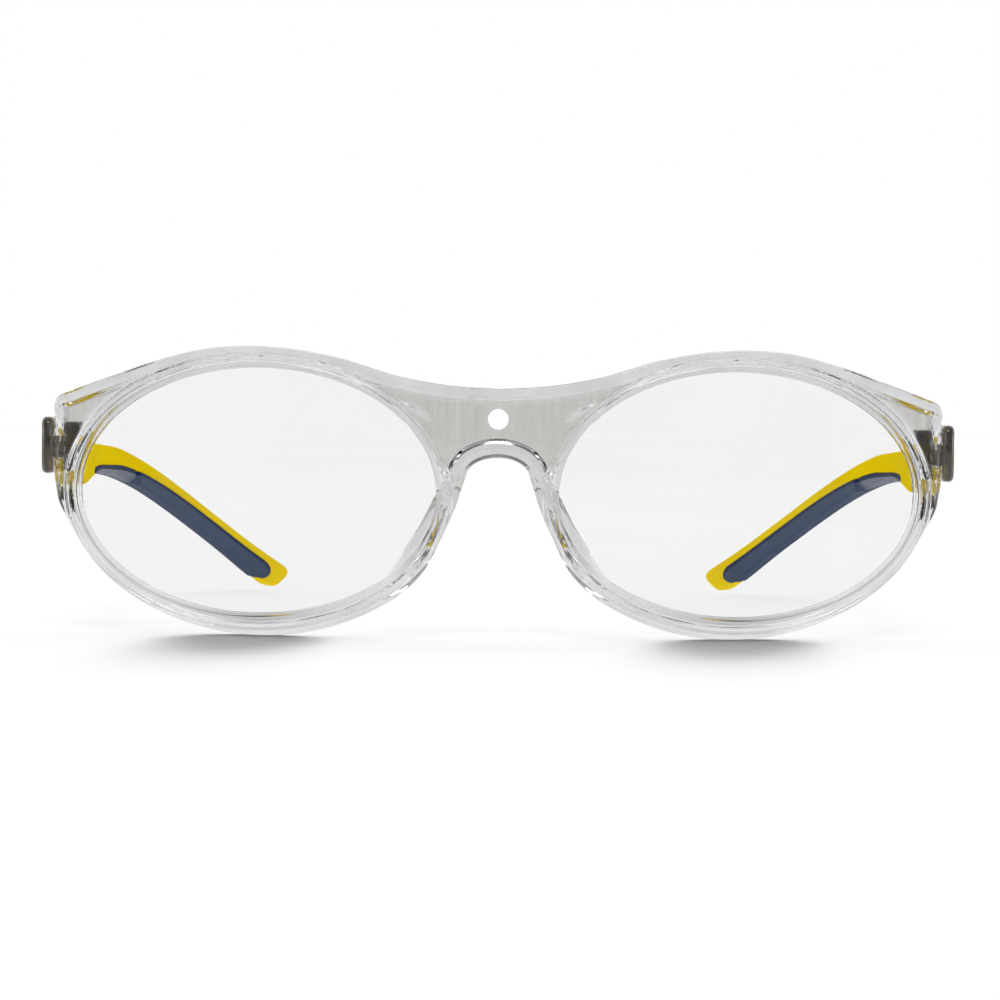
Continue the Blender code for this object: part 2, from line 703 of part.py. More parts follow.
def pad_section(height, thick, split, taper):
    """The pad: a face in the arm's recess and a foot under the arm."""
    gap = PAD_GAP
    top = split * height + gap + taper
    low = height - PAD_UNDER + gap
    return [(PAD_PROUD * 0.3, top), (-PAD_RECESS + gap, top), (-PAD_RECESS + gap, max(low, top + 0.02)),
            (-thick, max(low, top + 0.02)), (-thick, height), (-thick + 0.3, height + 0.12),
            (-0.5, height + 0.12), (PAD_PROUD, height - 0.6), (PAD_PROUD, min(top + 0.5, height - 0.62))]


def arm_positions():
    return list(np.concatenate([[ARM_START_Y, 25.0, 28.5, PAD_START_Y - 0.05, PAD_START_Y],
                                np.linspace(38.0, 70.0, 5), np.linspace(76.0, PAD_END_Y - 3.0, 11),
                                [PAD_END_Y - 1.5, PAD_END_Y, PAD_END_Y + 0.05, 128.8, 129.77, 130.5]]))


def build_arm(name, side, mat):
    at = arm_positions()
    _, _, _, height, thick = arm_frames(at)
    split = smooth_interp(PAD_EDGE_KNOTS, at)[:, 0]
    sections = []
    for y, h, t, s in zip(at, height, thick, split):
        recessed = PAD_START_Y <= y <= PAD_END_Y
        section = arm_section(h, t, s, recessed)
        if y > TIP_ROUND_Y:
            shrink = math.sqrt(max(0.0, 1 - ((y - TIP_ROUND_Y) / 2.3) ** 2))
            middle = np.array([-t / 2, h / 2])
            section = [tuple(middle + (np.array(p) - middle) * (0.35 + 0.65 * shrink)) for p in section]
        sections.append(section)
    data = sweep(sections, at)
    arm = make_object(name, *reversed_pair(data, side), mat, (PIN_X * side, PIN_Y, 29.0))

    def tool(data):
        return make_object("tool", *reversed_pair(data, side), mat, (PIN_X * side, PIN_Y, 29.0))

    shoulder = box((66.5, 69.4), (ARM_START_Y + 0.01, ARM_START_Y + 3.6), (25.2, 29.6 + ARM_SHOULDER_TOP))
    boolean(arm, tool(shoulder), "UNION")
    tongue = circle(PIN_X, PIN_Y, BARREL_R)
    z0, z1 = TONGUE_Z
    boolean(arm, tool(prism(tongue, z0, z1, "z")), "UNION")
    neck = box((PIN_X - 0.9, PIN_X + 0.9), (PIN_Y, ARM_START_Y + 0.6), (z0 + 0.02, z1 - 0.02))
    boolean(arm, tool(neck), "UNION")
    return boolean(arm, tool(prism(circle(PIN_X, PIN_Y, BARREL_HOLE_R), z0 - 1, z1 + 1, "z")), "DIFFERENCE")


def build_pad(name, side, mat):
    low, high = PAD_START_Y + PAD_GAP, PAD_END_Y - PAD_GAP
    at = [low] + [y for y in arm_positions() if low + 1 < y < high - 1] + [high]
    _, _, _, height, thick = arm_frames(at)
    split = smooth_interp(PAD_EDGE_KNOTS, at)[:, 0]
    sections = []
    for k, (h, t, s) in enumerate(zip(height, thick, split)):
        taper = 0.8 if k == len(at) - 1 else 0.0
        sections.append(pad_section(h, t, s, taper))
    data = sweep(sections, at)
    return make_object(name, *reversed_pair(data, side), mat, (PIN_X * side, PIN_Y, 29.0))


# ---------------------------------------------------------------- assembly
def main():
    clear_scene()
    clear = material("clear_frame", (0.82, 0.83, 0.84), 0.08, transmission=0.7)
    lens = material("lens", (0.95, 0.96, 0.97), 0.03, transmission=0.9)
    smoke = material("smoked_clip", (0.10, 0.09, 0.08), 0.2)
    yellow = material("yellow_arm", (0.80, 0.60, 0.02), 0.35)
    blue = material("blue_grey_pad", (0.09, 0.13, 0.20), 0.6)
    steel = material("steel_pin", (0.62, 0.62, 0.64), 0.3, metallic=1.0)
    build_front(clear)
    for side, tag in ((1.0, "left"), (-1.0, "right")):
        build_lens("lens_" + tag, side, lens)
        build_block("hinge_block_" + tag, side, smoke)
        build_cap("clip_cap_" + tag, side, smoke)
        build_pin("hinge_pin_" + tag, side, steel)
        build_arm("temple_arm_" + tag, side, yellow)
        build_pad("temple_pad_" + tag, side, blue)


main()
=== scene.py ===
"""Looks of the clear safety spectacles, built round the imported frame.

Lengths in the shape code are millimetres in the part's own frame before its Y shift,
as the part was designed; they become metres in the row frame when a mesh is made.
"""
import json
import math

import bmesh
import bpy
import numpy as np
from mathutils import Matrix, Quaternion, Vector
from mathutils.geometry import delaunay_2d_cdt

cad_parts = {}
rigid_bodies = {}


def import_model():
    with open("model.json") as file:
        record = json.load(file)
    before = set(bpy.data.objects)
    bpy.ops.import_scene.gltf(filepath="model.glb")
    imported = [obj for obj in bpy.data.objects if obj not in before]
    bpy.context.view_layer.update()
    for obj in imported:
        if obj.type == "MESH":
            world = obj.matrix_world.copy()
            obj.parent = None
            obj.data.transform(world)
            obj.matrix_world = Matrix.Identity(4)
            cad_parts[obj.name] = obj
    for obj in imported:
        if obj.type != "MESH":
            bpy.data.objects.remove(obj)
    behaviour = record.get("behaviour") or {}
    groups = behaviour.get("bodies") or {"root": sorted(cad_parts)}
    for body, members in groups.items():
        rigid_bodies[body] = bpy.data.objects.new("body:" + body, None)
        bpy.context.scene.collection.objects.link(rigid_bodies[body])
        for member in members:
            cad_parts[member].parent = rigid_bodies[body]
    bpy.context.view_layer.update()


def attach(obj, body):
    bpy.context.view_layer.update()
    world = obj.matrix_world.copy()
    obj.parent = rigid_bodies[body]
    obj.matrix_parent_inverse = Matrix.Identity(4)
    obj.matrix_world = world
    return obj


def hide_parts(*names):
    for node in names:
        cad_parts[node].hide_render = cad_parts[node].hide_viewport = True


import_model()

MM = 0.001
MIRROR = np.array([-1.0, 1.0])
FINE = 0.62        # sample spacing along the outlines

# ------------------------------------------------------------------ dimensions of the part
FRONT_Y = 0.03
TIP_Y = 130.377
Y_SHIFT = -(FRONT_Y + TIP_Y) / 2
WRAP_RADIUS = 220.0
WRAP_RADIUS_UP = 260.0
EYE_X = 37.65
EYE_Z = 22.6
EYE_A = 28.15
EYE_B = 19.15
BROW_KNOTS = ((0.0, 38.75), (8.0, 39.3), (15.5, 40.6), (25.0, 43.45), (33.2, 44.85), (38.5, 45.15),
              (45.5, 44.7), (54.5, 42.5), (62.0, 39.9), (68.6, 37.55))
CORNER_KNOTS = ((69.35, 37.15), (69.85, 36.65), (70.2, 35.95), (70.32, 35.2), (70.35, 30.0), (70.25, 24.5))
RIM_WIDTH_KNOTS = ((-4.0, 3.9), (-14.0, 2.85), (-35.0, 2.6), (-60.0, 2.9), (-90.0, 3.45),
                   (-125.0, 3.5), (-148.0, 3.2), (-161.0, 2.5), (-171.0, 2.85), (-180.0, 3.7))
ARCH_SIDE = (4.9, 25.06)
ARCH_TOP = 28.1

RIM_FRONT = 0.0
WEB_FRONT = 1.5
BRIDGE_FRONT = 0.35
WEB_BACK = 3.5
WEB_FILL = 1.4
RIM_BACK = 5.4
BROW_FRONT = 0.6
BROW_FOOT = 0.95
BROW_BACK = 6.4
WALL_BACK = 10.7
PAD_BACK = 10.0
RIM_FOOT = 3.9
CREST_AT = 0.60
RIM_SPAN = 3.0
SPAN_BRIDGE = 1.9
RIDGE_LOW = 3.45
RIDGE_TOP = 2.3
RIDGE_BRIDGE = 1.6
BAND_FRONT = 0.75
CREASE = ((16.4, 37.2), (14.4, 36.25), (12.0, 35.05), (9.6, 33.6))
CREASE_HALF = 0.42
CREASE_RISE = 0.22
MARK_X = (1.7, 5.0)
MARK_Z = (36.75, 37.5)
MARK_EDGE = 0.22
MARK_RISE = 0.25
BROW_WIDTH = 1.5
WALL_WIDTH = 1.4
NOSE_BAND = 3.0
LEG_TINT = 0.5
FOOT = 0.2
PAD_SPLAY = 0.587
ARCH_ROOT = 2.05
ARCH_BACK = 4.4
ARCH_BEVEL = 0.75
ARCH_GROOVE = 0.38
GROOVE_AT = 2.6
BRIDGE_HOLE_Z = 34.1
BRIDGE_HOLE_R = 1.6
GROOVE_DEPTH = 1.2
GROOVE_FRONT = 1.9
GROOVE_BACK = 4.5
LENS_EDGE = 0.9
LENS_FRONT = 2.2
LENS_BACK = 4.2
LENS_STEPS = 96

PIN_X = 67.5
PIN_Y = 21.0
PIN_R = 0.5
PIN_SHORT = 0.2                           # how far a pin ends inside its bracket
PIN_SLOT = 0.25
EAR_HOLE_R = 0.53
BARREL_HOLE_R = 0.56
BARREL_R = 1.2
BLOCK_X = (66.3, 68.6)
BLOCK_Y = (16.4, 19.3)
BLOCK_Z = (25.1, 33.0)
TONGUE_Z = (27.3, 30.8)
TONGUE_GAP = 0.3
LUG_Y = (16.6, 19.1)
LUG_Z = (27.4, 30.6)
LUG_END_X = 71.5
SLOT_GAP = 0.3
SLOT_X = (67.5, 74.0)
RIB_Z = (24.8, 35.0)
RIB_PITCH = 1.7
RIB_DEPTH = 0.22
CAP_X = (70.7, 72.4)
CAP_Y = (14.0, 22.4)
CAP_Z = (24.8, 33.8)

ARM_START_Y = 22.5
ARM_KNOTS = ((22.5, 66.5, 29.6), (45.0, 66.3, 29.1), (70.0, 65.4, 27.6), (85.0, 62.9, 24.9),
             (100.0, 58.6, 20.3), (112.0, 53.2, 14.8), (122.0, 46.7, 8.8), (130.5, 39.9, 3.3))
ARM_HEIGHT_KNOTS = ((22.5, 6.7), (26.5, 6.4), (31.5, 5.6), (38.0, 4.9), (60.0, 4.7), (85.0, 4.6),
                    (100.0, 4.6), (118.0, 4.7), (130.5, 5.4))
ARM_THICK_KNOTS = ((22.5, 3.2), (60.0, 3.1), (90.0, 2.7), (118.0, 2.5), (130.5, 2.6))
PAD_START_Y = 34.0
PAD_END_Y = 127.6
PAD_EDGE_KNOTS = ((34.0, 0.76), (50.0, 0.72), (70.0, 0.58), (85.0, 0.46), (100.0, 0.36), (127.6, 0.28))
PAD_RECESS = 1.4
PAD_GAP = 0.05
PAD_PROUD = 0.32
PAD_UNDER = 0.95
PAD_CLOSE = 1.2                           # lengths over which the pad closes, below and above
PAD_CLOSE_TOP = 2.8
TIP_SLANT = 3.4
NOTCH_Y = 77.0
NOTCH_HALF = 1.5
NOTCH_DEPTH = 0.8
TIP_ROUND_Y = 128.1
SHADING_X = 38.0


# ------------------------------------------------------------------ small geometry helpers
def smooth_interp(knots, values):
    table = np.array(sorted(knots), float)
    pos, val = table[:, 0], table[:, 1:]
    slope = np.gradient(val, pos, axis=0)
    values = np.clip(np.atleast_1d(np.array(values, float)), pos[0], pos[-1])
    i = np.clip(np.searchsorted(pos, values, side="right") - 1, 0, len(pos) - 2)
    h = (pos[i + 1] - pos[i])[:, None]
    u = ((values - pos[i])[:, None]) / h
    return ((2 * u**3 - 3 * u**2 + 1) * val[i] + (u**3 - 2 * u**2 + u) * h * slope[i]
            + (-2 * u**3 + 3 * u**2) * val[i + 1] + (u**3 - u**2) * h * slope[i + 1])


def step_up(value, low, high):
    t = np.clip((value - low) / (high - low), 0, 1)
    return t * t * (3 - 2 * t)


def wrapped(points):
    pts = np.array(points, float)
    pts[:, 1] += pts[:, 0] ** 2 / (2 * WRAP_RADIUS) + (pts[:, 2] - EYE_Z) ** 2 / (2 * WRAP_RADIUS_UP)
    return pts


def low_part(points):
    """1 where the clear plastic is low and near the middle of a lens, so that it shades the floor; there the
    frame's colour is also painted lighter, against the shadow seen through the rim.
    """
    across = np.abs(np.abs(points[:, 0]) - SHADING_X)
    return (1 - step_up(points[:, 2], 5.0, 24.0)) * (1 - step_up(across, 2.0, 16.0))


def make_mesh(name, verts_mm, faces, materials, body, sharp=32.0, masks=None):
    """One piece from millimetre coordinates, smooth except over edges sharper than the angle."""
    pts = np.array(verts_mm, float)
    pts[:, 1] += Y_SHIFT
    mesh = bpy.data.meshes.new(name)
    mesh.from_pydata((pts * MM).tolist(), [], [tuple(int(i) for i in f) for f in faces])
    obj = bpy.data.objects.new(name, mesh)
    bpy.context.collection.objects.link(obj)
    for mat in materials:
        mesh.materials.append(mat)
    for key, values in (masks or {}).items():
        mesh.attributes.new(key, "FLOAT", "POINT").data.foreach_set("value", np.array(values, np.float32))
    bm = bmesh.new()
    bm.from_mesh(mesh)
    bmesh.ops.remove_doubles(bm, verts=bm.verts, dist=2e-7)
    bmesh.ops.dissolve_degenerate(bm, edges=bm.edges, dist=1e-8)
    bmesh.ops.recalc_face_normals(bm, faces=bm.faces)
    bm.to_mesh(mesh)
    bm.free()
    shade(obj, sharp)
    if body:
        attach(obj, body)
    return obj


def shade(obj, sharp):
    obj.data.polygons.foreach_set("use_smooth", [True] * len(obj.data.polygons))
    obj.data.set_sharp_from_angle(angle=math.radians(sharp))


def finished(obj, name, body, sharp=35.0):
    obj.name = name
    shade(obj, sharp)
    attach(obj, body)
    return obj


def boolean(obj, cutter, operation):
    mod = obj.modifiers.new("bool", "BOOLEAN")
    mod.operation = operation
    mod.solver = "EXACT"
    mod.object = cutter
    bpy.context.view_layer.update()
    graph = bpy.context.evaluated_depsgraph_get()
    result = bpy.data.meshes.new_from_object(obj.evaluated_get(graph))
    obj.modifiers.clear()
    obj.data = result
    bpy.data.objects.remove(cutter, do_unlink=True)
    return obj


def circle(cx, cy, r, count=40):
    angles = [2 * math.pi * i / count for i in range(count)]
    return [(cx + r * math.cos(a), cy + r * math.sin(a)) for a in angles]


def grown(span, gap):
    return span[0] - gap, span[1] + gap


def rounded(corners, radii, steps=4):
    """Closed outline with each corner turned into an arc of a fixed number of points."""
    out = []
    count = len(corners)
    for i, (p, r) in enumerate(zip(corners, radii)):
        p = np.array(p, float)
        before = np.array(corners[i - 1], float) - p
        after = np.array(corners[(i + 1) % count], float) - p
        lb, la = np.linalg.norm(before), np.linalg.norm(after)
        if lb < 1e-6 or la < 1e-6:
            out.extend([tuple(p)] * (steps + 1))
            continue
        before, after = before / lb, after / la
        cut = min(r, 0.48 * lb, 0.48 * la)
        a, b = p + before * cut, p + after * cut
        for k in range(steps + 1):
            t = k / steps
            out.append(tuple((1 - t) ** 2 * a + 2 * t * (1 - t) * p + t * t * b))
    return out


def inset_outline(profile, amount):
    pts = np.array(profile, float)
    ahead, behind = np.roll(pts, -1, axis=0), np.roll(pts, 1, axis=0)
    tangent = ahead - behind
    length = np.linalg.norm(tangent, axis=1, keepdims=True)
    tangent /= np.maximum(length, 1e-9)
    normal = np.stack([tangent[:, 1], -tangent[:, 0]], 1)
    area = np.sum(pts[:, 0] * ahead[:, 1] - ahead[:, 0] * pts[:, 1])
    return pts - normal * amount * np.sign(area)


def prism(profile, low, high, axis, r=0.0, steps=3):
    """Prism along an axis, its end edges rounded with radius r."""
    levels = [(low, 0.0), (high, 0.0)]
    if r > 0:
        turn = [math.pi / 2 * k / steps for k in range(steps + 1)]
        levels = [(low + r * (1 - math.cos(t)), r * (1 - math.sin(t))) for t in turn]
        levels += [(high + low - level, inset) for level, inset in levels[::-1]]
    verts, count = [], len(profile)
    for level, inset in levels:
        for u, v in inset_outline(profile, inset) if inset > 0 else profile:
            verts.append({"x": (level, u, v), "y": (u, level, v), "z": (u, v, level)}[axis])
    last = (len(levels) - 1) * count
    faces = [tuple(range(count))[::-1], tuple(range(last, last + count))]
    for p in range(0, last, count):
        for i in range(count):
            j = (i + 1) % count
            faces.append((p + i, p + j, p + count + j, p + count + i))
    return verts, faces


def box_profile(a, b, r):
    corners = [(a[0], b[0]), (a[1], b[0]), (a[1], b[1]), (a[0], b[1])]
    return rounded(corners, [r] * 4, 4)


def sided(data, side):
    verts, faces = data
    pts = np.array(verts, float)
    if side < 0:
        pts[:, 0] = -pts[:, 0]
        faces = [tuple(f)[::-1] for f in faces]
    return pts, faces


def tool(data, side, mat):
    """Solid on one side of the part, to start a piece from or to join to it or cut it with."""
    return make_mesh("tool", *sided(data, side), [mat], None)


# ------------------------------------------------------------------ flat drawing of the front
def eye_point(angle, offset, side=1.0):
    c, s = np.cos(angle), np.sin(angle)
    n = np.stack([EYE_B * c, EYE_A * s], -1)
    n /= np.linalg.norm(n, axis=-1, keepdims=True)
    p = np.stack([EYE_X + EYE_A * c, EYE_Z + EYE_B * s], -1) + n * np.atleast_1d(offset)[:, None]
    return p * np.array([side, 1.0])


def rim_span(x, z):
    """Width of the moulded rim at the points' bearing from the middle of the eye opening."""
    angle = np.degrees(np.arctan2((z - EYE_Z) / EYE_B, (x - EYE_X) / EYE_A))
    below = smooth_interp(RIM_WIDTH_KNOTS, np.clip(angle, -180.0, -4.0))[:, 0]
    beside_bridge = step_up(angle, 100.0, 135.0) * (1 - step_up(angle, 158.0, 178.0))
    above = RIM_SPAN + (SPAN_BRIDGE - RIM_SPAN) * beside_bridge
    return np.where(angle < -4.0, np.minimum(below, RIM_SPAN), above)


def ridge_width(x, z):
    """Width of the ridge behind the lens groove: broad round the bottom, narrow at the bridge."""
    angle = np.degrees(np.arctan2((z - EYE_Z) / EYE_B, (x - EYE_X) / EYE_A))
    width = RIDGE_LOW + (RIDGE_TOP - RIDGE_LOW) * step_up(angle, 0.0, 15.0)
    width = width + (RIDGE_BRIDGE - RIDGE_TOP) * step_up(angle, 112.0, 138.0)
    return width + (RIDGE_LOW - RIDGE_BRIDGE) * step_up(angle, 164.0, 179.0)


def resample(points, step):
    pts = np.array(points, float)
    length = np.concatenate([[0], np.cumsum(np.linalg.norm(np.diff(pts, axis=0), axis=1))])
    count = max(2, int(round(length[-1] / step)) + 1)
    at = np.linspace(0, length[-1], count)
    return np.stack([np.interp(at, length, pts[:, k]) for k in (0, 1)], 1)


def half_outline():
    xs = np.linspace(0, BROW_KNOTS[-1][0], 400)
    brow = resample(np.concatenate([xs[:, None], smooth_interp(BROW_KNOTS, xs)], 1), FINE)
    side = resample(np.array(CORNER_KNOTS[3:]), 0.2)
    low, high = RIB_Z
    fade = step_up(side[:, 1], low, low + 0.6) * (1 - step_up(side[:, 1], high - 0.6, high))
    side[:, 0] -= RIB_DEPTH * fade * (0.5 - 0.5 * np.cos(2 * math.pi * (side[:, 1] - low) / RIB_PITCH))
    side = np.vstack([CORNER_KNOTS[:4], side[1:]])
    angles = np.linspace(-4.0, -180.0, 800)
    rim = eye_point(np.radians(angles), smooth_interp(RIM_WIDTH_KNOTS, angles)[:, 0])
    rim = resample(rim, FINE)
    turn = np.linspace(0, math.pi / 2, 60)
    rise = ARCH_TOP - ARCH_SIDE[1]
    arch = np.stack([ARCH_SIDE[0] * np.cos(turn), ARCH_SIDE[1] + rise * np.sin(turn)], 1)
    return brow, side, rim, resample(arch, FINE * 0.7)


def both_sides(open_line):
    return np.vstack([open_line[::-1] * np.array([-1.0, 1.0]), open_line[1:]])


def distance(points, line, closed=False):
    a, b = line, np.roll(line, -1, axis=0)
    if not closed:
        a, b = a[:-1], b[:-1]
    best = np.full(len(points), 1e18)
    for p, q in zip(a, b):
        v = q - p
        w = points - p
        t = np.clip((w @ v) / max(v @ v, 1e-12), 0, 1)
        d = w - t[:, None] * v
        best = np.minimum(best, d[:, 0] ** 2 + d[:, 1] ** 2)
    return np.sqrt(best)


def inside(points, polygon):
    x, z = points[:, 0], points[:, 1]
    hit = np.zeros(len(points), bool)
    for (x0, z0), (x1, z1) in zip(polygon, np.roll(polygon, -1, axis=0)):
        if z0 != z1:
            cross = (z0 > z) != (z1 > z)
            hit ^= cross & (x < (x1 - x0) * (z - z0) / (z1 - z0) + x0)
    return hit


def offset_line(line, amount):
    tangent = np.gradient(line, axis=0)
    tangent /= np.linalg.norm(tangent, axis=1, keepdims=True)
    return line + np.stack([tangent[:, 1], -tangent[:, 0]], 1) * amount


def ridge(dist, width, top, base, foot=FOOT):
    """Depth of a flat ridge of the given width along a line, with a foot on its far side."""
    return top + (base - top) * step_up(dist, width, width + foot)


def rounding(dist, r):
    """Drop of a rounded edge of radius r at a distance inside it."""
    k = np.clip(r - dist, 0, r)
    return r - np.sqrt(np.maximum(r * r - k * k, 0))


def round_end(share):
    """Quarter circle from 0 at the end of a pad to 1 where the end's rounding stops."""
    return math.sqrt(max(0.0, 1 - (1 - share) ** 2))


class Front:
    """Outline and depth fields of the moulded front, drawn flat."""

    def __init__(self):
        brow, side, rim, arch = half_outline()
        self.brow = both_sides(brow)
        self.side = np.vstack([brow[-1:], side, rim[:int(3 / FINE)]])
        self.nose = both_sides(np.vstack([arch[::-1], rim[::-1][1:int(28 / FINE)]]))
        half = np.vstack([brow, side, rim, arch[1:]])
        self.loop = np.vstack([half, half[1:-1][::-1] * np.array([-1.0, 1.0])])
        self.eye = eye_point(np.radians(np.arange(0, 360, 1.0)), 0.0)

    def fields(self, p):
        folded = np.stack([np.abs(p[:, 0]), p[:, 1]], 1)
        x, z = folded[:, 0], folded[:, 1]
        crease = distance(folded, np.array(CREASE))
        ends = np.minimum(step_up(x, CREASE[-1][0], CREASE[-1][0] + 1.5),
                          1 - step_up(x, CREASE[0][0] - 2.5, CREASE[0][0]))
        mark = np.minimum(np.minimum(x - MARK_X[0], MARK_X[1] - x), np.minimum(z - MARK_Z[0], MARK_Z[1] - z))
        half_loop = self.loop[:len(self.loop) // 2 + 2]
        return {"eye": distance(folded, self.eye, True), "edge": distance(folded, half_loop),
                "brow": distance(folded, self.brow), "side": distance(folded, self.side),
                "nose": distance(folded, self.nose), "x": x, "z": z,
                "crease": crease + CREASE_HALF * (1 - ends), "mark": np.maximum(mark, 0)}

    def front_depth(self, f):
        eye, x, z = f["eye"], f["x"], f["z"]
        bridge = (1 - step_up(x, 12.0, 27.0)) * step_up(z, 19.0, 27.0)
        web = WEB_FRONT + (BRIDGE_FRONT - WEB_FRONT) * bridge
        t = eye / rim_span(x, z)
        band = BAND_FRONT - 0.35 * bridge
        inner = RIM_FRONT + (band - RIM_FRONT) * step_up(CREST_AT - t, 0.03, 0.28)
        outer = RIM_FRONT + (web - RIM_FRONT) * step_up(t - CREST_AT, 0.04, 0.34)
        rim = np.where(t < CREST_AT, inner, outer)
        brow = ridge(f["brow"], BROW_WIDTH, np.minimum(BROW_FRONT, web - 0.15), web, BROW_FOOT)
        depth = np.minimum(rim, brow)
        peak = np.clip(1 - np.abs(f["nose"] - 1.45) / 0.95, 0, 1)
        nose = depth - (0.22 + 0.30 * (1 - bridge)) * step_up(peak, 0.0, 1.0)
        near_nose = step_up(22 - x, 0.0, 3.0) * step_up(33.5 - z, 0.0, 1.0)
        depth = depth + (np.maximum(nose, RIM_FRONT - 0.1) - depth) * near_nose
        depth = depth - CREASE_RISE * step_up(1 - f["crease"] / CREASE_HALF, 0.0, 1.0)
        depth = depth - MARK_RISE * step_up(f["mark"], 0.0, MARK_EDGE)
        reach = 0.8 - 0.45 * step_up(z - EYE_Z, 4.0, 12.0)
        by_arch = step_up(13 - x, 0.0, 4.0) * step_up(z, 23.5, 26.5) * step_up(33 - z, 0.0, 1.0)
        reach = reach - (reach - 0.14) * by_arch
        bevel = np.clip(1.0 - f["edge"] / reach, 0, 1) * reach
        return depth + bevel + rounding(f["edge"], 0.2) + rounding(eye, 0.1)

    def pad_depth(self, z):
        rise = step_up(z, 6.2, 16.0) * (1 - step_up(z, 12.8, 28.5))
        return RIM_BACK + (PAD_BACK - RIM_BACK) * rise

    def root_width(self, z):
        return ARCH_ROOT + (RIM_FOOT + 0.2 - ARCH_ROOT) * (1 - step_up(z, 24.0, 26.4))

    def back_depth(self, f):
        eye, x, z = f["eye"], f["x"], f["z"]
        brow_back = BROW_BACK + (WALL_BACK - BROW_BACK) * step_up(x, 44.0, 70.0)
        wall_back = RIM_BACK + (WALL_BACK - RIM_BACK) * step_up(z, 18.5, 23.0)
        web = WEB_BACK + WEB_FILL * (1 - step_up(z, 23.0, 29.5)) * (1 - step_up(x, 14.0, 20.0))
        depth = ridge(eye, ridge_width(x, z), RIM_BACK, web)
        depth = np.maximum(depth, ridge(f["brow"], BROW_WIDTH, brow_back, web))
        depth = np.maximum(depth, ridge(f["side"], WALL_WIDTH, wall_back, web))
        arch = step_up(z, 19.3, 29.0)
        above = step_up(z, 24.0, 27.0)
        pad_top = self.pad_depth(z)
        tall = (pad_top - RIM_BACK) / (PAD_BACK - RIM_BACK)
        pad_top = pad_top - tall * (rounding(f["nose"], 0.9) + rounding(np.maximum(eye - 0.2, 0), 0.9))
        pad_top = pad_top + (ARCH_BACK - pad_top) * arch
        foot = FOOT + (GROOVE_AT - ARCH_ROOT - FOOT) * above
        pad = ridge(f["nose"], self.root_width(z), pad_top, web, foot)
        notch = ARCH_GROOVE * np.clip(1 - np.abs(f["nose"] - GROOVE_AT) / ARCH_GROOVE, 0, 1)
        pad = pad - above * (notch + ARCH_BEVEL * np.clip(1 - f["nose"] / ARCH_BEVEL, 0, 1))
        pad = np.where(eye < 0.2, RIM_BACK + (pad - RIM_BACK) * np.clip(eye / 0.2, 0, 1), pad)
        eye_ridge = ridge(eye, ridge_width(x, z), 1.0, 0.0)
        by_nose = (1 - eye_ridge * above) * step_up(GROOVE_AT + 0.9 - f["nose"], 0.0, 0.3)
        joined = np.maximum(depth, pad)
        joined = joined + (depth + (pad - depth) * by_nose - joined) * step_up(z, 20.5, 25.0)
        depth = np.where((x < 24) & (z < 33), joined, depth)
        return depth - rounding(f["edge"], 0.2) - rounding(eye, 0.1) * (depth < RIM_BACK + 0.1)

    def back_shift(self, p, depth):
        near = (np.abs(p[:, 0]) < 24) & (p[:, 1] < 27)
        return np.where(near, np.maximum(depth - RIM_BACK, 0) * PAD_SPLAY, 0) * np.sign(p[:, 0])


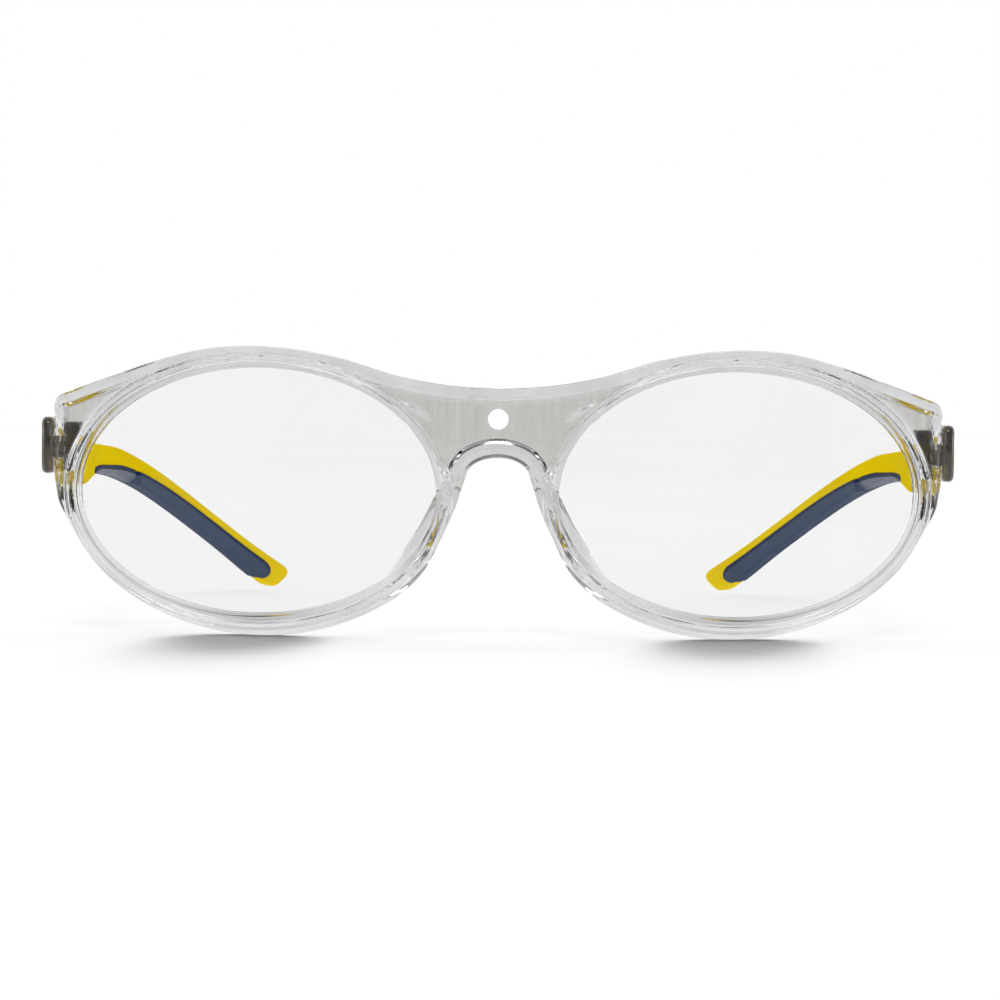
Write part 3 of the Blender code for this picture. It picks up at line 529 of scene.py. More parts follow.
def front_points(shape):
    points, edges = [], []

    def add(line, closed):
        start, count = len(points), len(line)
        points.extend(map(tuple, line))
        edges.extend((start + i, start + (i + 1) % count) for i in range(count if closed else count - 1))

    def add_kept(line, keep):
        run = []
        for p, k in zip(line, keep):
            if k:
                run.append(p)
                continue
            if len(run) > 1:
                add(np.array(run), False)
            run = []
        if len(run) > 1:
            add(np.array(run), False)

    add(shape.loop, True)
    steps = int(2 * math.pi * 24 / FINE)
    angles = np.radians(np.arange(steps) * 360.0 / steps)
    for side in (1.0, -1.0):
        add(eye_point(angles, 0.0, side), True)
    for r in (BRIDGE_HOLE_R, BRIDGE_HOLE_R + 0.12, BRIDGE_HOLE_R + 0.3):
        add(np.array(circle(0.0, BRIDGE_HOLE_Z, r, 40)), True)
    round_trip = np.append(angles, angles[0])
    flat_round = eye_point(round_trip, 0.0)
    span = rim_span(flat_round[:, 0], flat_round[:, 1])
    inner_loops = (0.02, 0.05, 0.09, 0.16, 0.25, 0.36, 0.42, 0.47, 0.52, 0.565, 0.60, 0.65, 0.71)
    outer_loops = (0.78, 0.85, 0.92, 1.0, 1.08)
    for side in (1.0, -1.0):
        for fraction in inner_loops + outer_loops:
            line = eye_point(round_trip, fraction * span, side)
            clear_of_edge = 0.3 if fraction < 0.3 else 0.9
            add_kept(line, inside(line, shape.loop) & (distance(line, shape.loop, True) > clear_of_edge))
        for extra in (0.0, FOOT):
            line = eye_point(round_trip, ridge_width(flat_round[:, 0], flat_round[:, 1]) + extra, side)
            add_kept(line, inside(line, shape.loop) & (distance(line, shape.loop, True) > 0.9))
    for shift in (-CREASE_HALF, -0.25, -0.1, 0.0, 0.1, 0.25, CREASE_HALF):
        line = offset_line(resample(CREASE, 0.3), shift)
        add(line, False)
        add(line * MIRROR, False)
    for grow in (0.0, 0.1, MARK_EDGE):
        x0, x1, z0, z1 = MARK_X[0] + grow, MARK_X[1] - grow, MARK_Z[0] + grow, MARK_Z[1] - grow
        ring = resample([(x0, z0), (x1, z0), (x1, z1), (x0, z1), (x0, z0)], 0.35)[:-1]
        add(ring, True)
        add(ring * MIRROR, True)
    for width in (0.06, 0.2, 0.35, 0.8):
        half = shape.loop[:len(shape.loop) // 2 + 2]
        moved = offset_line(half, width)
        ok = inside(moved, shape.loop) & (distance(moved, shape.loop, True) > width - 0.02)
        ok &= ~inside(np.abs(moved), shape.eye) & (distance(np.abs(moved), shape.eye, True) > 1.3)
        ok &= moved[:, 0] >= -1e-6
        add_kept(moved, ok)
        add_kept(moved * MIRROR, ok)
    for line, sign, widths in ((shape.brow, 1, (BROW_WIDTH, BROW_WIDTH + FOOT, BROW_WIDTH + 0.35,
                                               BROW_WIDTH + 0.6, BROW_WIDTH + BROW_FOOT)),
                               (shape.nose, -1, (0.14, 0.45, ARCH_BEVEL, 1.1, 1.45, 1.8, ARCH_ROOT, 2.33,
                                               GROOVE_AT, GROOVE_AT + 0.19, GROOVE_AT + ARCH_GROOVE, 3.25)),
                               (shape.side, 1, (WALL_WIDTH, WALL_WIDTH + FOOT))):
        for width in widths:
            moved = offset_line(line, sign * width)
            for copy in ([moved] if line is not shape.side else [moved, moved * MIRROR]):
                ok = inside(copy, shape.loop) & (distance(copy, shape.loop, True) > width - 0.03)
                ok &= ~inside(np.abs(copy), shape.eye) & (distance(np.abs(copy), shape.eye, True) > 1.35)
                add_kept(copy, ok)
    pitch = 1.3 * FINE
    cols, rows = int(72 / pitch), int(46 / (pitch * 0.87))
    grid = np.array([((i + 0.5 * (j % 2)) * pitch, j * pitch * 0.87)
                     for i in range(-cols, cols + 1) for j in range(rows)])
    grid = grid[inside(grid, shape.loop) & ~inside(np.abs(grid), shape.eye)]
    placed = np.array(points)
    apart = np.array([np.min(np.abs(placed - g).max(axis=1)) > 0.45 * pitch for g in grid])
    points.extend(map(tuple, grid[apart]))
    return points, edges


def front_mesh(name, mat, body):
    shape = Front()
    points, edges = front_points(shape)
    flat, _, tris, _, _, _ = delaunay_2d_cdt(points, edges, [], 0, 1e-4)
    flat = np.array([tuple(v) for v in flat])
    tris = np.array([tuple(t) for t in tris])
    middle = flat[tris].mean(axis=1)
    hole = np.array(circle(0.0, BRIDGE_HOLE_Z, BRIDGE_HOLE_R, 40))
    tris = tris[inside(middle, shape.loop) & ~inside(np.abs(middle), shape.eye) & ~inside(middle, hole)]
    used = np.unique(tris)
    remap = -np.ones(len(flat), int)
    remap[used] = np.arange(len(used))
    flat, tris = flat[used], remap[tris]
    f = shape.fields(flat)
    at_hole = np.abs(np.hypot(flat[:, 0], flat[:, 1] - BRIDGE_HOLE_Z) - BRIDGE_HOLE_R)
    hole_round = rounding(at_hole, 0.25)
    front = shape.front_depth(f) + hole_round
    back = shape.back_depth(f) - hole_round
    shift = shape.back_shift(flat, back)
    count = len(flat)
    d1, d2 = flat[tris[:, 1]] - flat[tris[:, 0]], flat[tris[:, 2]] - flat[tris[:, 0]]
    tris = np.where((d1[:, 0] * d2[:, 1] - d1[:, 1] * d2[:, 0] > 0)[:, None], tris, tris[:, ::-1])
    t = f["eye"] / rim_span(f["x"], f["z"])
    bridge = (1 - step_up(f["x"], 14.0, 30.0)) * step_up(f["z"], 24.0, 27.0)
    plate = step_up(t, 0.95 - 0.6 * bridge, 1.2 - 0.6 * bridge)
    plate = plate * step_up(f["brow"], BROW_WIDTH, BROW_WIDTH + 0.6)
    off_nose = step_up(f["nose"], NOSE_BAND, NOSE_BAND + 0.3)
    plate = plate * step_up(f["side"], WALL_WIDTH, WALL_WIDTH + 0.5) * off_nose
    # painted highlight: along each crease the plate's darker grey gives way to the lighter rim grey, a bright
    # line standing in for the crease's glint
    plate = plate * step_up(f["z"], 23.5, 25.0) * step_up(f["crease"], 0.1, 0.4)
    plate = plate + LEG_TINT * (1 - off_nose) * step_up(f["z"], 8.0, 16.0)
    faces = [tuple(t) for t in tris] + [tuple(t[::-1] + count) for t in tris]
    verts = [np.stack([flat[:, 0], front, flat[:, 1]], 1),
             np.stack([flat[:, 0] + shift, back, flat[:, 1]], 1)]

    half_edges = set()
    for t in tris:
        for i in range(3):
            half_edges.add((t[i], t[(i + 1) % 3]))
    rims = [(a, b) for a, b in half_edges if (b, a) not in half_edges]
    in_eye = set(np.where(f["eye"] < 0.03)[0].tolist())
    on_edge = f["edge"] < 0.02
    extra, index = [], {}

    def chain(v):
        if v in index:
            return index[v]
        x, z = flat[v]
        steps = []
        if v in in_eye:
            side = 1.0 if x > 0 else -1.0
            angle = math.atan2((z - EYE_Z) / EYE_B, (abs(x) - EYE_X) / EYE_A)
            out = eye_point(np.array([angle]), GROOVE_DEPTH, side)[0]
            steps = [(x, GROOVE_FRONT, z), (out[0], GROOVE_FRONT, out[1]),
                     (out[0], GROOVE_BACK, out[1]), (x, GROOVE_BACK, z)]
        elif on_edge[v]:
            lean = 0.12 * shift[v]
            near = back[v] - (back[v] - RIM_BACK + 0.3 if back[v] > RIM_BACK else 0.5 * (back[v] - front[v]))
            steps = [(x, front[v] + 0.3 * (near - front[v]), z), (x + lean, near, z)]
            if back[v] > RIM_BACK + 0.5:
                steps.append((x + lean + 0.5 * (shift[v] - lean), 0.5 * (near + back[v]), z))
        ids = [v]
        for s in steps:
            ids.append(2 * count + len(extra))
            extra.append(s)
        ids.append(v + count)
        index[v] = ids
        return ids

    for a, b in rims:
        left, right = chain(a), chain(b)
        i = j = 0
        while i < len(left) - 1 or j < len(right) - 1:
            if len(left) == len(right):
                faces.append((left[i], left[i + 1], right[j + 1], right[j]))
                i += 1
                j += 1
            elif i < len(left) - 1 and (j >= len(right) - 1 or i / len(left) <= j / len(right)):
                faces.append((left[i], left[i + 1], right[j]))
                i += 1
            else:
                faces.append((left[i], right[j + 1], right[j]))
                j += 1
    verts.append(np.array(extra))
    flange = 1 - step_up(f["eye"], GROOVE_DEPTH, GROOVE_DEPTH + 0.3)
    extra_eye = shape.fields(np.array(extra)[:, [0, 2]])["eye"]
    extra_flange = 1 - step_up(extra_eye, GROOVE_DEPTH + 0.1, GROOVE_DEPTH + 0.2)
    verts = wrapped(np.vstack(verts))
    masks = {"plate": np.concatenate([plate, plate, np.zeros(len(extra))]),
             "flange": np.concatenate([flange, flange, extra_flange]),
             "shading": low_part(verts)}
    obj = make_mesh(name, verts, faces, [mat], None, 30.0, masks)
    slot = box_profile(grown(LUG_Y, SLOT_GAP), grown(LUG_Z, SLOT_GAP), 0.3)
    for side in (1.0, -1.0):
        boolean(obj, tool(prism(slot, *SLOT_X, "x"), side, mat), "DIFFERENCE")
    return finished(obj, name, body, 30.0)


# ------------------------------------------------------------------ lenses
def lens_mesh(name, side, mat, body):
    shares = (0.12, 0.24, 0.36, 0.48, 0.6, 0.72, 0.82, 0.9, 0.955, 0.98)
    rings = [(k, LENS_FRONT) for k in shares]
    rings += [(0.992, LENS_FRONT + 0.1), (1.0, LENS_FRONT + 0.35)]
    rings += [(1.0, LENS_BACK - 0.35), (0.992, LENS_BACK - 0.1)]
    rings += [(k, LENS_BACK) for k in shares[::-1]]
    verts, faces = [], []
    for share, depth in rings:
        for i in range(LENS_STEPS):
            a = 2 * math.pi * i / LENS_STEPS
            verts.append((EYE_X + (EYE_A + LENS_EDGE) * share * math.cos(a), depth,
                          EYE_Z + (EYE_B + LENS_EDGE) * share * math.sin(a)))
    last = len(verts) - LENS_STEPS
    verts += [(EYE_X, LENS_FRONT, EYE_Z), (EYE_X, LENS_BACK, EYE_Z)]
    for i in range(LENS_STEPS):
        j = (i + 1) % LENS_STEPS
        faces += [(p + i, p + j, p + LENS_STEPS + j, p + LENS_STEPS + i) for p in range(0, last, LENS_STEPS)]
        faces += [(j, i, len(verts) - 2), (last + i, last + j, len(verts) - 1)]
    pts, faces = sided((verts, faces), side)
    pts = wrapped(pts)
    return make_mesh(name, pts, faces, [mat], body, 40.0, {"shading": low_part(pts)})


# ------------------------------------------------------------------ brackets, caps, pins
def ear_profile(r):
    angles = [math.pi - math.pi * i / 16 for i in range(17)]
    profile = [(PIN_X + r * math.cos(a), PIN_Y + r * math.sin(a)) for a in angles]
    y = BLOCK_Y[1] - 0.6
    return [(PIN_X + r, y), (PIN_X - r, y)] + profile


def block_mesh(name, side, mat, body):
    z0, z1 = BLOCK_Z
    obj = tool(prism(box_profile(BLOCK_X, BLOCK_Y, 0.8), z0, z1, "z", 0.7, 5), side, mat)
    lug = prism(box_profile(LUG_Y, LUG_Z, 0.5), BLOCK_X[1] - 0.5, LUG_END_X, "x", 0.2)
    boolean(obj, tool(lug, side, mat), "UNION")
    for low, high in ((z0, TONGUE_Z[0] - TONGUE_GAP), (TONGUE_Z[1] + TONGUE_GAP, z1)):
        boolean(obj, tool(prism(ear_profile(BARREL_R), low, high, "z", 0.2), side, mat), "UNION")
    hole = prism(circle(PIN_X, PIN_Y, EAR_HOLE_R, 32), z0 - 1, z1 + 1, "z")
    boolean(obj, tool(hole, side, mat), "DIFFERENCE")
    return finished(obj, name, body)


def cap_mesh(name, side, mat, body):
    y0, y1 = CAP_Y
    z0, z1 = CAP_Z
    outline = rounded([(y0, z0), (y1, z0), (y1, z1), (y0, z1)], [2.0, 2.6, 1.9, 1.9], 7)
    obj = tool(prism(outline, *CAP_X, "x", 0.55, 5), side, mat)
    pocket = box_profile(grown(LUG_Y, SLOT_GAP), grown(LUG_Z, SLOT_GAP), 0.4)
    pocket = prism(pocket, CAP_X[0] - 1, LUG_END_X + SLOT_GAP * 0.5, "x")
    boolean(obj, tool(pocket, side, mat), "DIFFERENCE")
    return finished(obj, name, body)


def pin_mesh(name, side, mat, body):
    z0, z1 = grown(BLOCK_Z, -PIN_SHORT)
    obj = tool(prism(circle(PIN_X, PIN_Y, PIN_R, 32), z0, z1, "z", 0.12), side, mat)
    slot = box_profile((PIN_X - 0.7, PIN_X + 0.7), (PIN_Y - 0.08, PIN_Y + 0.08), 0.01)
    boolean(obj, tool(prism(slot, z1 - PIN_SLOT, z1 + 1, "z"), side, mat), "DIFFERENCE")
    return finished(obj, name, body)


# ------------------------------------------------------------------ temple arms
def arm_frames(at):
    at = np.array(at, float)
    line = smooth_interp(ARM_KNOTS, at)
    eps = 0.5
    ahead, behind = smooth_interp(ARM_KNOTS, at + eps), smooth_interp(ARM_KNOTS, at - eps)
    hi = np.minimum(at + eps, ARM_KNOTS[-1][0])
    lo = np.maximum(at - eps, ARM_KNOTS[0][0])
    tangent = np.stack([ahead[:, 0] - behind[:, 0], hi - lo, ahead[:, 1] - behind[:, 1]], 1)
    tangent /= np.linalg.norm(tangent, axis=1, keepdims=True)
    point = np.stack([line[:, 0], at, line[:, 1]], 1)
    inward = np.stack([-tangent[:, 1], tangent[:, 0], np.zeros(len(at))], 1)
    inward /= np.linalg.norm(inward, axis=1, keepdims=True)
    down = np.cross(inward, tangent)
    down *= -np.sign(down[:, 2:3])
    blend = step_up(at, 24.0, 34.0)[:, None]
    down = down * blend + np.array([0.0, 0.0, -1.0]) * (1 - blend)
    down /= np.linalg.norm(down, axis=1, keepdims=True)
    height = smooth_interp(ARM_HEIGHT_KNOTS, at)[:, 0]
    thick = smooth_interp(ARM_THICK_KNOTS, at)[:, 0]
    split = smooth_interp(PAD_EDGE_KNOTS, at)[:, 0] * height
    return point, inward, down, height, thick, split


def sweep(sections, at):
    """Skin over the sections; towards the tip the lower edge falls behind the upper one."""
    point, inward, down, height = arm_frames(at)[:4]
    along = np.cross(inward, down)
    along *= np.sign(along[:, 1:2])
    lag = TIP_SLANT * step_up(at, 114.0, 130.0) / height
    verts = [point[k] + inward[k] * a + down[k] * b - along[k] * lag[k] * b
             for k, s in enumerate(sections) for a, b in s]
    count = len(sections[0])
    faces = [tuple(range(count))]
    last = (len(sections) - 1) * count
    faces.append(tuple(range(last, last + count))[::-1])
    for k in range(len(sections) - 1):
        for i in range(count):
            j = (i + 1) % count
            p, q = k * count, (k + 1) * count
            faces.append((p + i, q + i, q + j, p + j))
    return np.array(verts), faces


def pad_outline(y, height, split):
    """Upper and lower edge of the pad's recess, both drawn in at the two ends."""
    middle = 0.72 * height
    low = np.clip((PAD_END_Y - y) / PAD_CLOSE, 0, 1)
    top = middle + (split - middle) * round_end(np.clip((PAD_END_Y - y) / PAD_CLOSE_TOP, 0, 1))
    bottom = height if low >= 1 else middle + (height - middle) * round_end(low)
    start = round_end(np.clip((y - PAD_START_Y) / 2.0, 0, 1))
    return top + (1 - start) * 0.45 * (height - top), bottom


def pad_under(y):
    """How far the pad reaches up round the arm's lower edge."""
    return PAD_UNDER * float(step_up(y, PAD_START_Y, PAD_START_Y + 3.0)
                             * step_up(PAD_END_Y - PAD_CLOSE - 0.05 - y, 0.0, 0.6))


def arm_mesh(name, side, mat, body):
    at = np.concatenate([np.linspace(ARM_START_Y, PAD_START_Y - 0.03, 16),
                         PAD_START_Y + np.array([0.0, 0.1, 0.3, 0.7, 1.2]),
                         np.linspace(PAD_START_Y + 2.0, PAD_END_Y - 2.45, 96),
                         PAD_END_Y - np.array([2.1, 1.9, 1.7, 1.5, 1.25, 1.19, 1.1, 0.9, 0.65,
                                               0.4, 0.2, 0.08, 0.02]),
                         [PAD_END_Y, 127.9, 128.1, 128.5, 129.0, 129.4, 129.75, 130.15, 130.42, 130.5]])
    _, _, _, height, thick, split = arm_frames(at)
    sections = []
    for y, h, t, s in zip(at, height, thick, split):
        inside_pad = PAD_START_Y <= y < PAD_END_Y
        top, bottom = pad_outline(min(max(y, PAD_START_Y), PAD_END_Y - 1e-6), h, s)
        deep = -PAD_RECESS if inside_pad else 0.0
        under = pad_under(y) if inside_pad else 0.0
        if inside_pad and bottom >= h:
            low = h - under
            tail = [(deep, low), (deep, low), (deep, low), (deep, top), (0.0, top)]
            radii = [0.12, 0.0, 0.0, 0.05, 0.16]
        else:
            lip, low = (bottom, bottom) if bottom < h else (0.9 * h, 0.85 * h)
            tail = [(0.0, h), (0.0, lip), (deep, low), (deep, top), (0.0, top)]
            radii = [0.55, 0.1, 0.05, 0.05, 0.1]
        corners = [(0.0, 0.0), (-t, 0.0), (-t, h - under)] + tail
        low_radius = 0.95 - 0.85 * under / PAD_UNDER
        section = np.array(rounded(corners, [0.45, 0.95, low_radius] + radii, 4))
        if y > TIP_ROUND_Y:
            k = min(1.0, (y - TIP_ROUND_Y) / (ARM_KNOTS[-1][0] - TIP_ROUND_Y))
            shrink = math.sqrt(max(0.0, 1 - k * k))
            middle = np.array([-t / 2, h * 0.5])
            section = middle + (section - middle) * (0.12 + 0.88 * np.array([shrink, shrink ** 0.8]))
        sections.append([tuple(p) for p in section])

    obj = tool(sweep(sections, at), side, mat)
    shoulder = box_profile((66.55, 69.4), (ARM_START_Y + 0.01, ARM_START_Y + 3.6), 0.6)
    boolean(obj, tool(prism(shoulder, 25.2, 32.0, "z", 0.6, 4), side, mat), "UNION")
    z0, z1 = TONGUE_Z
    turn = [math.pi + math.pi * i / 24 for i in range(25)]
    knuckle = [(PIN_X + BARREL_R * math.cos(a), PIN_Y + BARREL_R * math.sin(a)) for a in turn]
    knuckle += [(PIN_X + 0.95, PIN_Y + 0.9), (PIN_X + 0.95, ARM_START_Y + 0.6),
                (PIN_X - 0.93, ARM_START_Y + 0.6), (PIN_X - 0.93, PIN_Y + 0.9)]
    boolean(obj, tool(prism(knuckle, z0, z1, "z", 0.1), side, mat), "UNION")
    bore = prism(circle(PIN_X, PIN_Y, BARREL_HOLE_R, 32), z0 - 1, z1 + 1, "z")
    boolean(obj, tool(bore, side, mat), "DIFFERENCE")
    return finished(obj, name, body)


def pad_mesh(name, side, mat, body):
    low, high = PAD_START_Y + PAD_GAP, PAD_END_Y - PAD_GAP
    at = np.concatenate([[low, low + 0.1, low + 0.3, low + 0.7, low + 1.2],
                         np.linspace(low + 1.9, NOTCH_Y - 2.0, 40),
                         NOTCH_Y + np.array([-0.8, -0.6, -0.45, -0.3, 0.0, 0.3, 0.45, 0.6, 0.8]) * 2,
                         np.linspace(NOTCH_Y + 2.0, high - 2.45, 64),
                         high - np.array([2.1, 1.9, 1.7, 1.5, 1.25, 1.14, 1.05, 0.85, 0.6,
                                          0.35, 0.15, 0.04, 0.0])])
    _, _, _, height, thick, split = arm_frames(at)
    sections = []
    for y, h, t, s in zip(at, height, thick, split):
        top, bottom = pad_outline(y, h, s)
        top += PAD_GAP
        base = -PAD_RECESS + PAD_GAP
        end = min(1.0, (y - low) / 0.7, (high - y) / 0.9)
        swell = PAD_PROUD * round_end(end)
        front_part = 1 - float(step_up(y, NOTCH_Y - 0.6, NOTCH_Y + 0.6))
        dip = float(step_up(NOTCH_HALF - abs(y - NOTCH_Y), 0.0, 0.5))
        swell = swell * (1 - 0.5 * front_part) - NOTCH_DEPTH * dip
        open_bottom = bottom >= h
        floor = h + (0.12 if open_bottom else -PAD_GAP - (h - bottom))
        under = pad_under(y)
        leg = step_up(under, 0.35, PAD_UNDER)
        outer = base + (-t - base) * float(leg)
        inner_low = min(h - under + PAD_GAP, floor - 0.02) if under > 0 else floor - 0.02
        room = max(floor - top, 0.05)
        edge = min(0.5, 0.3 * room)
        slope = edge + (0.42 * room - edge) * front_part
        line = min(0.3, 0.2 * room)
        corners = [(min(0.05, swell), top), (base, top), (base, inner_low), (outer, inner_low),
                   (outer, floor), (min(-0.1, swell - 0.1) - 0.5 * front_part, floor), (swell, floor - slope),
                   (swell, top + edge + line), (swell, top + edge)]
        radii = [0.15, 0.03, 0.03, 0.05, 0.45, 0.35, 0.45, 0.02, 0.35]
        sections.append(rounded(corners, radii, 4))
    # painted shade: the pad's upper edge is painted dark navy as the shade of the groove against the arm; the
    # recess's back and the underside are painted less dark
    painted_edge_shade = np.repeat([1.0, 1.0, 0.5, 0.5, 0.4, 0.25, 0.0, 0.0, 1.0], 5)
    flank = np.repeat([0.0, 0.0, 0.0, 0.0, 0.0, 0.6, 1.0, 0.0, 0.0], 5)
    before_notch = 1 - step_up(at, NOTCH_Y - 6.0, NOTCH_Y - 1.0)
    shiny = step_up(at, PAD_START_Y + 3.0, PAD_START_Y + 9.0) * before_notch
    masks = {"edge": np.tile(painted_edge_shade, len(sections)), "flank": (shiny[:, None] * flank).ravel()}
    return make_mesh(name, *sided(sweep(sections, at), side), [mat], body, 38.0, masks)


# ------------------------------------------------------------------ materials
class Nodes:
    """A little shorthand for a material's node tree."""

    def __init__(self, name):
        self.mat = bpy.data.materials.new(name)
        self.mat.use_nodes = True
        self.tree = self.mat.node_tree
        self.shader = self.tree.nodes["Principled BSDF"]
        self.coords = self.add("ShaderNodeTexCoord").outputs["Object"]

    def add(self, kind, **values):
        node = self.tree.nodes.new(kind)
        for key, value in values.items():
            setattr(node, key, value)
        return node

    def link(self, a, b):
        self.tree.links.new(a, b)

    def set(self, **values):
        for key, value in values.items():
            self.shader.inputs[key.replace("_", " ")].default_value = value

    def mapped(self, scale):
        node = self.add("ShaderNodeMapping")
        node.inputs["Scale"].default_value = scale
        self.link(self.coords, node.inputs["Vector"])
        return node.outputs["Vector"]

    def noise(self, scale, detail=4.0, rough=0.55, stretch=(1.0, 1.0, 1.0)):
        node = self.add("ShaderNodeTexNoise")
        node.inputs["Scale"].default_value = scale
        node.inputs["Detail"].default_value = detail
        node.inputs["Roughness"].default_value = rough
        self.link(self.mapped(stretch), node.inputs["Vector"])
        return node.outputs["Fac"]

    def ramp(self, value, low, high, out_low, out_high):
        node = self.add("ShaderNodeMapRange")
        for key, v in (("From Min", low), ("From Max", high), ("To Min", out_low), ("To Max", out_high)):
            node.inputs[key].default_value = v
        self.link(value, node.inputs["Value"])
        return node.outputs["Result"]

    def attribute(self, name):
        return self.add("ShaderNodeAttribute", attribute_name=name).outputs["Fac"]

    def mix(self, value, a, b):
        """Mix of two colours, each a plain colour or the output of another node."""
        node = self.add("ShaderNodeMix", data_type="RGBA")
        self.link(value, node.inputs["Factor"])
        for key, color in (("A", a), ("B", b)):
            if isinstance(color, tuple):
                node.inputs[key].default_value = (*color, 1.0)
            else:
                self.link(color, node.inputs[key])
        return node.outputs["Result"]

    def bump(self, value, strength, metres):
        node = self.add("ShaderNodeBump")
        node.inputs["Strength"].default_value = strength
        node.inputs["Distance"].default_value = metres
        self.link(value, node.inputs["Height"])
        self.link(node.outputs["Normal"], self.shader.inputs["Normal"])

    def color(self, value):
        self.link(value, self.shader.inputs["Base Color"])

    def let_lamps_through(self, attribute):
        """Clear plastic shades the floor only where the attribute says it is thick and low."""
        path = self.add("ShaderNodeLightPath").outputs["Is Shadow Ray"]
        keep = self.attribute(attribute)
        left = self.add("ShaderNodeMath", operation="SUBTRACT")
        left.inputs[0].default_value = 1.0
        self.link(keep, left.inputs[1])
        both = self.add("ShaderNodeMath", operation="MULTIPLY")
        self.link(path, both.inputs[0])
        self.link(left.outputs[0], both.inputs[1])
        mix = self.add("ShaderNodeMixShader")
        self.link(both.outputs[0], mix.inputs[0])
        self.link(self.shader.outputs[0], mix.inputs[1])
        self.link(self.add("ShaderNodeBsdfTransparent").outputs[0], mix.inputs[2])
        self.link(mix.outputs[0], self.tree.nodes["Material Output"].inputs["Surface"])

    def rough(self, value):
        self.link(value, self.shader.inputs["Roughness"])


def frame_material():
    """Clear polycarbonate, a little greyer and streaked along the flow in the thin plate; the low rims are
    painted lighter against the floor shadow seen through them, and a lighter painted highlight runs along
    each crease.
    """
    m = Nodes("clear_frame_plastic")
    m.set(Transmission_Weight=1.0, IOR=1.52)
    cloud = m.ramp(m.noise(170.0, 3.0), 0.35, 0.65, 0.0, 1.0)
    streak = m.ramp(m.noise(420.0, 3.0, 0.6, (2.4, 1.0, 0.16)), 0.35, 0.65, 0.0, 1.0)
    thick = m.mix(cloud, (0.62, 0.625, 0.64), (0.70, 0.705, 0.715))
    by_lens = m.mix(cloud, (0.87, 0.872, 0.875), (0.90, 0.902, 0.905))
    thin = m.mix(streak, (0.52, 0.51, 0.49), (0.585, 0.575, 0.56))
    rim = m.mix(m.attribute("flange"), thick, by_lens)
    # painted light: the low rims are painted a lighter grey so that the floor shadow seen through them reads
    # less dark
    rim = m.mix(m.attribute("shading"), rim, (0.80, 0.805, 0.812))
    plate = m.attribute("plate")
    m.color(m.mix(plate, rim, thin))
    haze = m.add("ShaderNodeMath", operation="MULTIPLY_ADD")
    m.link(plate, haze.inputs[0])
    haze.inputs[1].default_value = 0.09
    m.link(m.ramp(m.noise(600.0, 2.0), 0.3, 0.7, 0.02, 0.05), haze.inputs[2])
    m.rough(haze.outputs[0])
    m.bump(m.noise(90.0, 1.5, 0.4), 0.12, 0.0004)
    m.let_lamps_through("shading")
    return m.mat


def lens_material():
    m = Nodes("clear_lens_plastic")
    m.set(Transmission_Weight=1.0, IOR=1.2)
    cloud = m.ramp(m.noise(60.0, 3.0), 0.35, 0.65, 0.0, 1.0)
    m.color(m.mix(cloud, (0.867, 0.868, 0.869), (0.873, 0.875, 0.877)))
    m.rough(m.ramp(m.noise(600.0, 2.0), 0.3, 0.7, 0.0, 0.01))
    m.bump(m.noise(60.0, 1.0, 0.4), 0.03, 0.0004)
    m.let_lamps_through("shading")
    return m.mat


def smoke_material():
    m = Nodes("smoked_clip_plastic")
    m.set(Transmission_Weight=0.85, IOR=1.5)
    m.color(m.mix(m.ramp(m.noise(260.0), 0.35, 0.65, 0.0, 1.0), (0.12, 0.112, 0.104), (0.23, 0.215, 0.202)))
    m.rough(m.ramp(m.noise(1500.0, 2.0), 0.3, 0.7, 0.06, 0.14))
    m.bump(m.noise(2500.0, 2.0), 0.06, 0.00005)
    return m.mat


def yellow_material():
    m = Nodes("yellow_arm_plastic")
    m.set(IOR=1.48, Specular_IOR_Level=0.0)
    m.color(m.mix(m.ramp(m.noise(70.0, 3.0), 0.3, 0.7, 0.0, 1.0), (0.86, 0.60, 0.001), (0.92, 0.68, 0.001)))
    m.rough(m.ramp(m.noise(900.0, 3.0), 0.3, 0.7, 0.38, 0.5))
    m.bump(m.noise(5200.0, 2.0, 0.6), 0.12, 0.00003)
    return m.mat


def pad_material():
    m = Nodes("blue_grey_soft_pad")
    m.set(IOR=1.45)
    cloud = m.ramp(m.noise(160.0, 4.0), 0.3, 0.7, 0.0, 1.0)
    face = m.mix(cloud, (0.045, 0.068, 0.118), (0.062, 0.088, 0.145))
    # painted shade: the "edge" mask darkens the pad towards navy along its upper edge and round its back
    m.color(m.mix(m.attribute("edge"), face, (0.012, 0.024, 0.075)))
    m.link(m.ramp(m.attribute("flank"), 0.0, 1.0, 0.02, 1.0), m.shader.inputs["Specular IOR Level"])
    m.rough(m.ramp(m.noise(1200.0, 3.0), 0.3, 0.7, 0.42, 0.58))
    m.bump(m.noise(7000.0, 2.0, 0.7), 0.25, 0.00004)
    return m.mat


def steel_material():
    m = Nodes("turned_steel_pin")
    m.set(Metallic=1.0)
    m.color(m.mix(m.ramp(m.noise(900.0, 3.0), 0.3, 0.7, 0.0, 1.0), (0.52, 0.52, 0.53), (0.66, 0.66, 0.67)))
    m.rough(m.ramp(m.noise(4000.0, 2.0, 0.5, (0.1, 0.1, 6.0)), 0.3, 0.7, 0.22, 0.38))
    m.bump(m.noise(4000.0, 1.0, 0.5, (0.05, 0.05, 6.0)), 0.2, 0.00002)
    return m.mat


def floor_material():
    m = Nodes("white_floor")
    m.color(m.mix(m.ramp(m.noise(3.0), 0.3, 0.7, 0.0, 1.0), (0.60, 0.60, 0.60), (0.62, 0.62, 0.62)))
    m.set(Roughness=0.9, Specular_IOR_Level=0.0)
    return m.mat


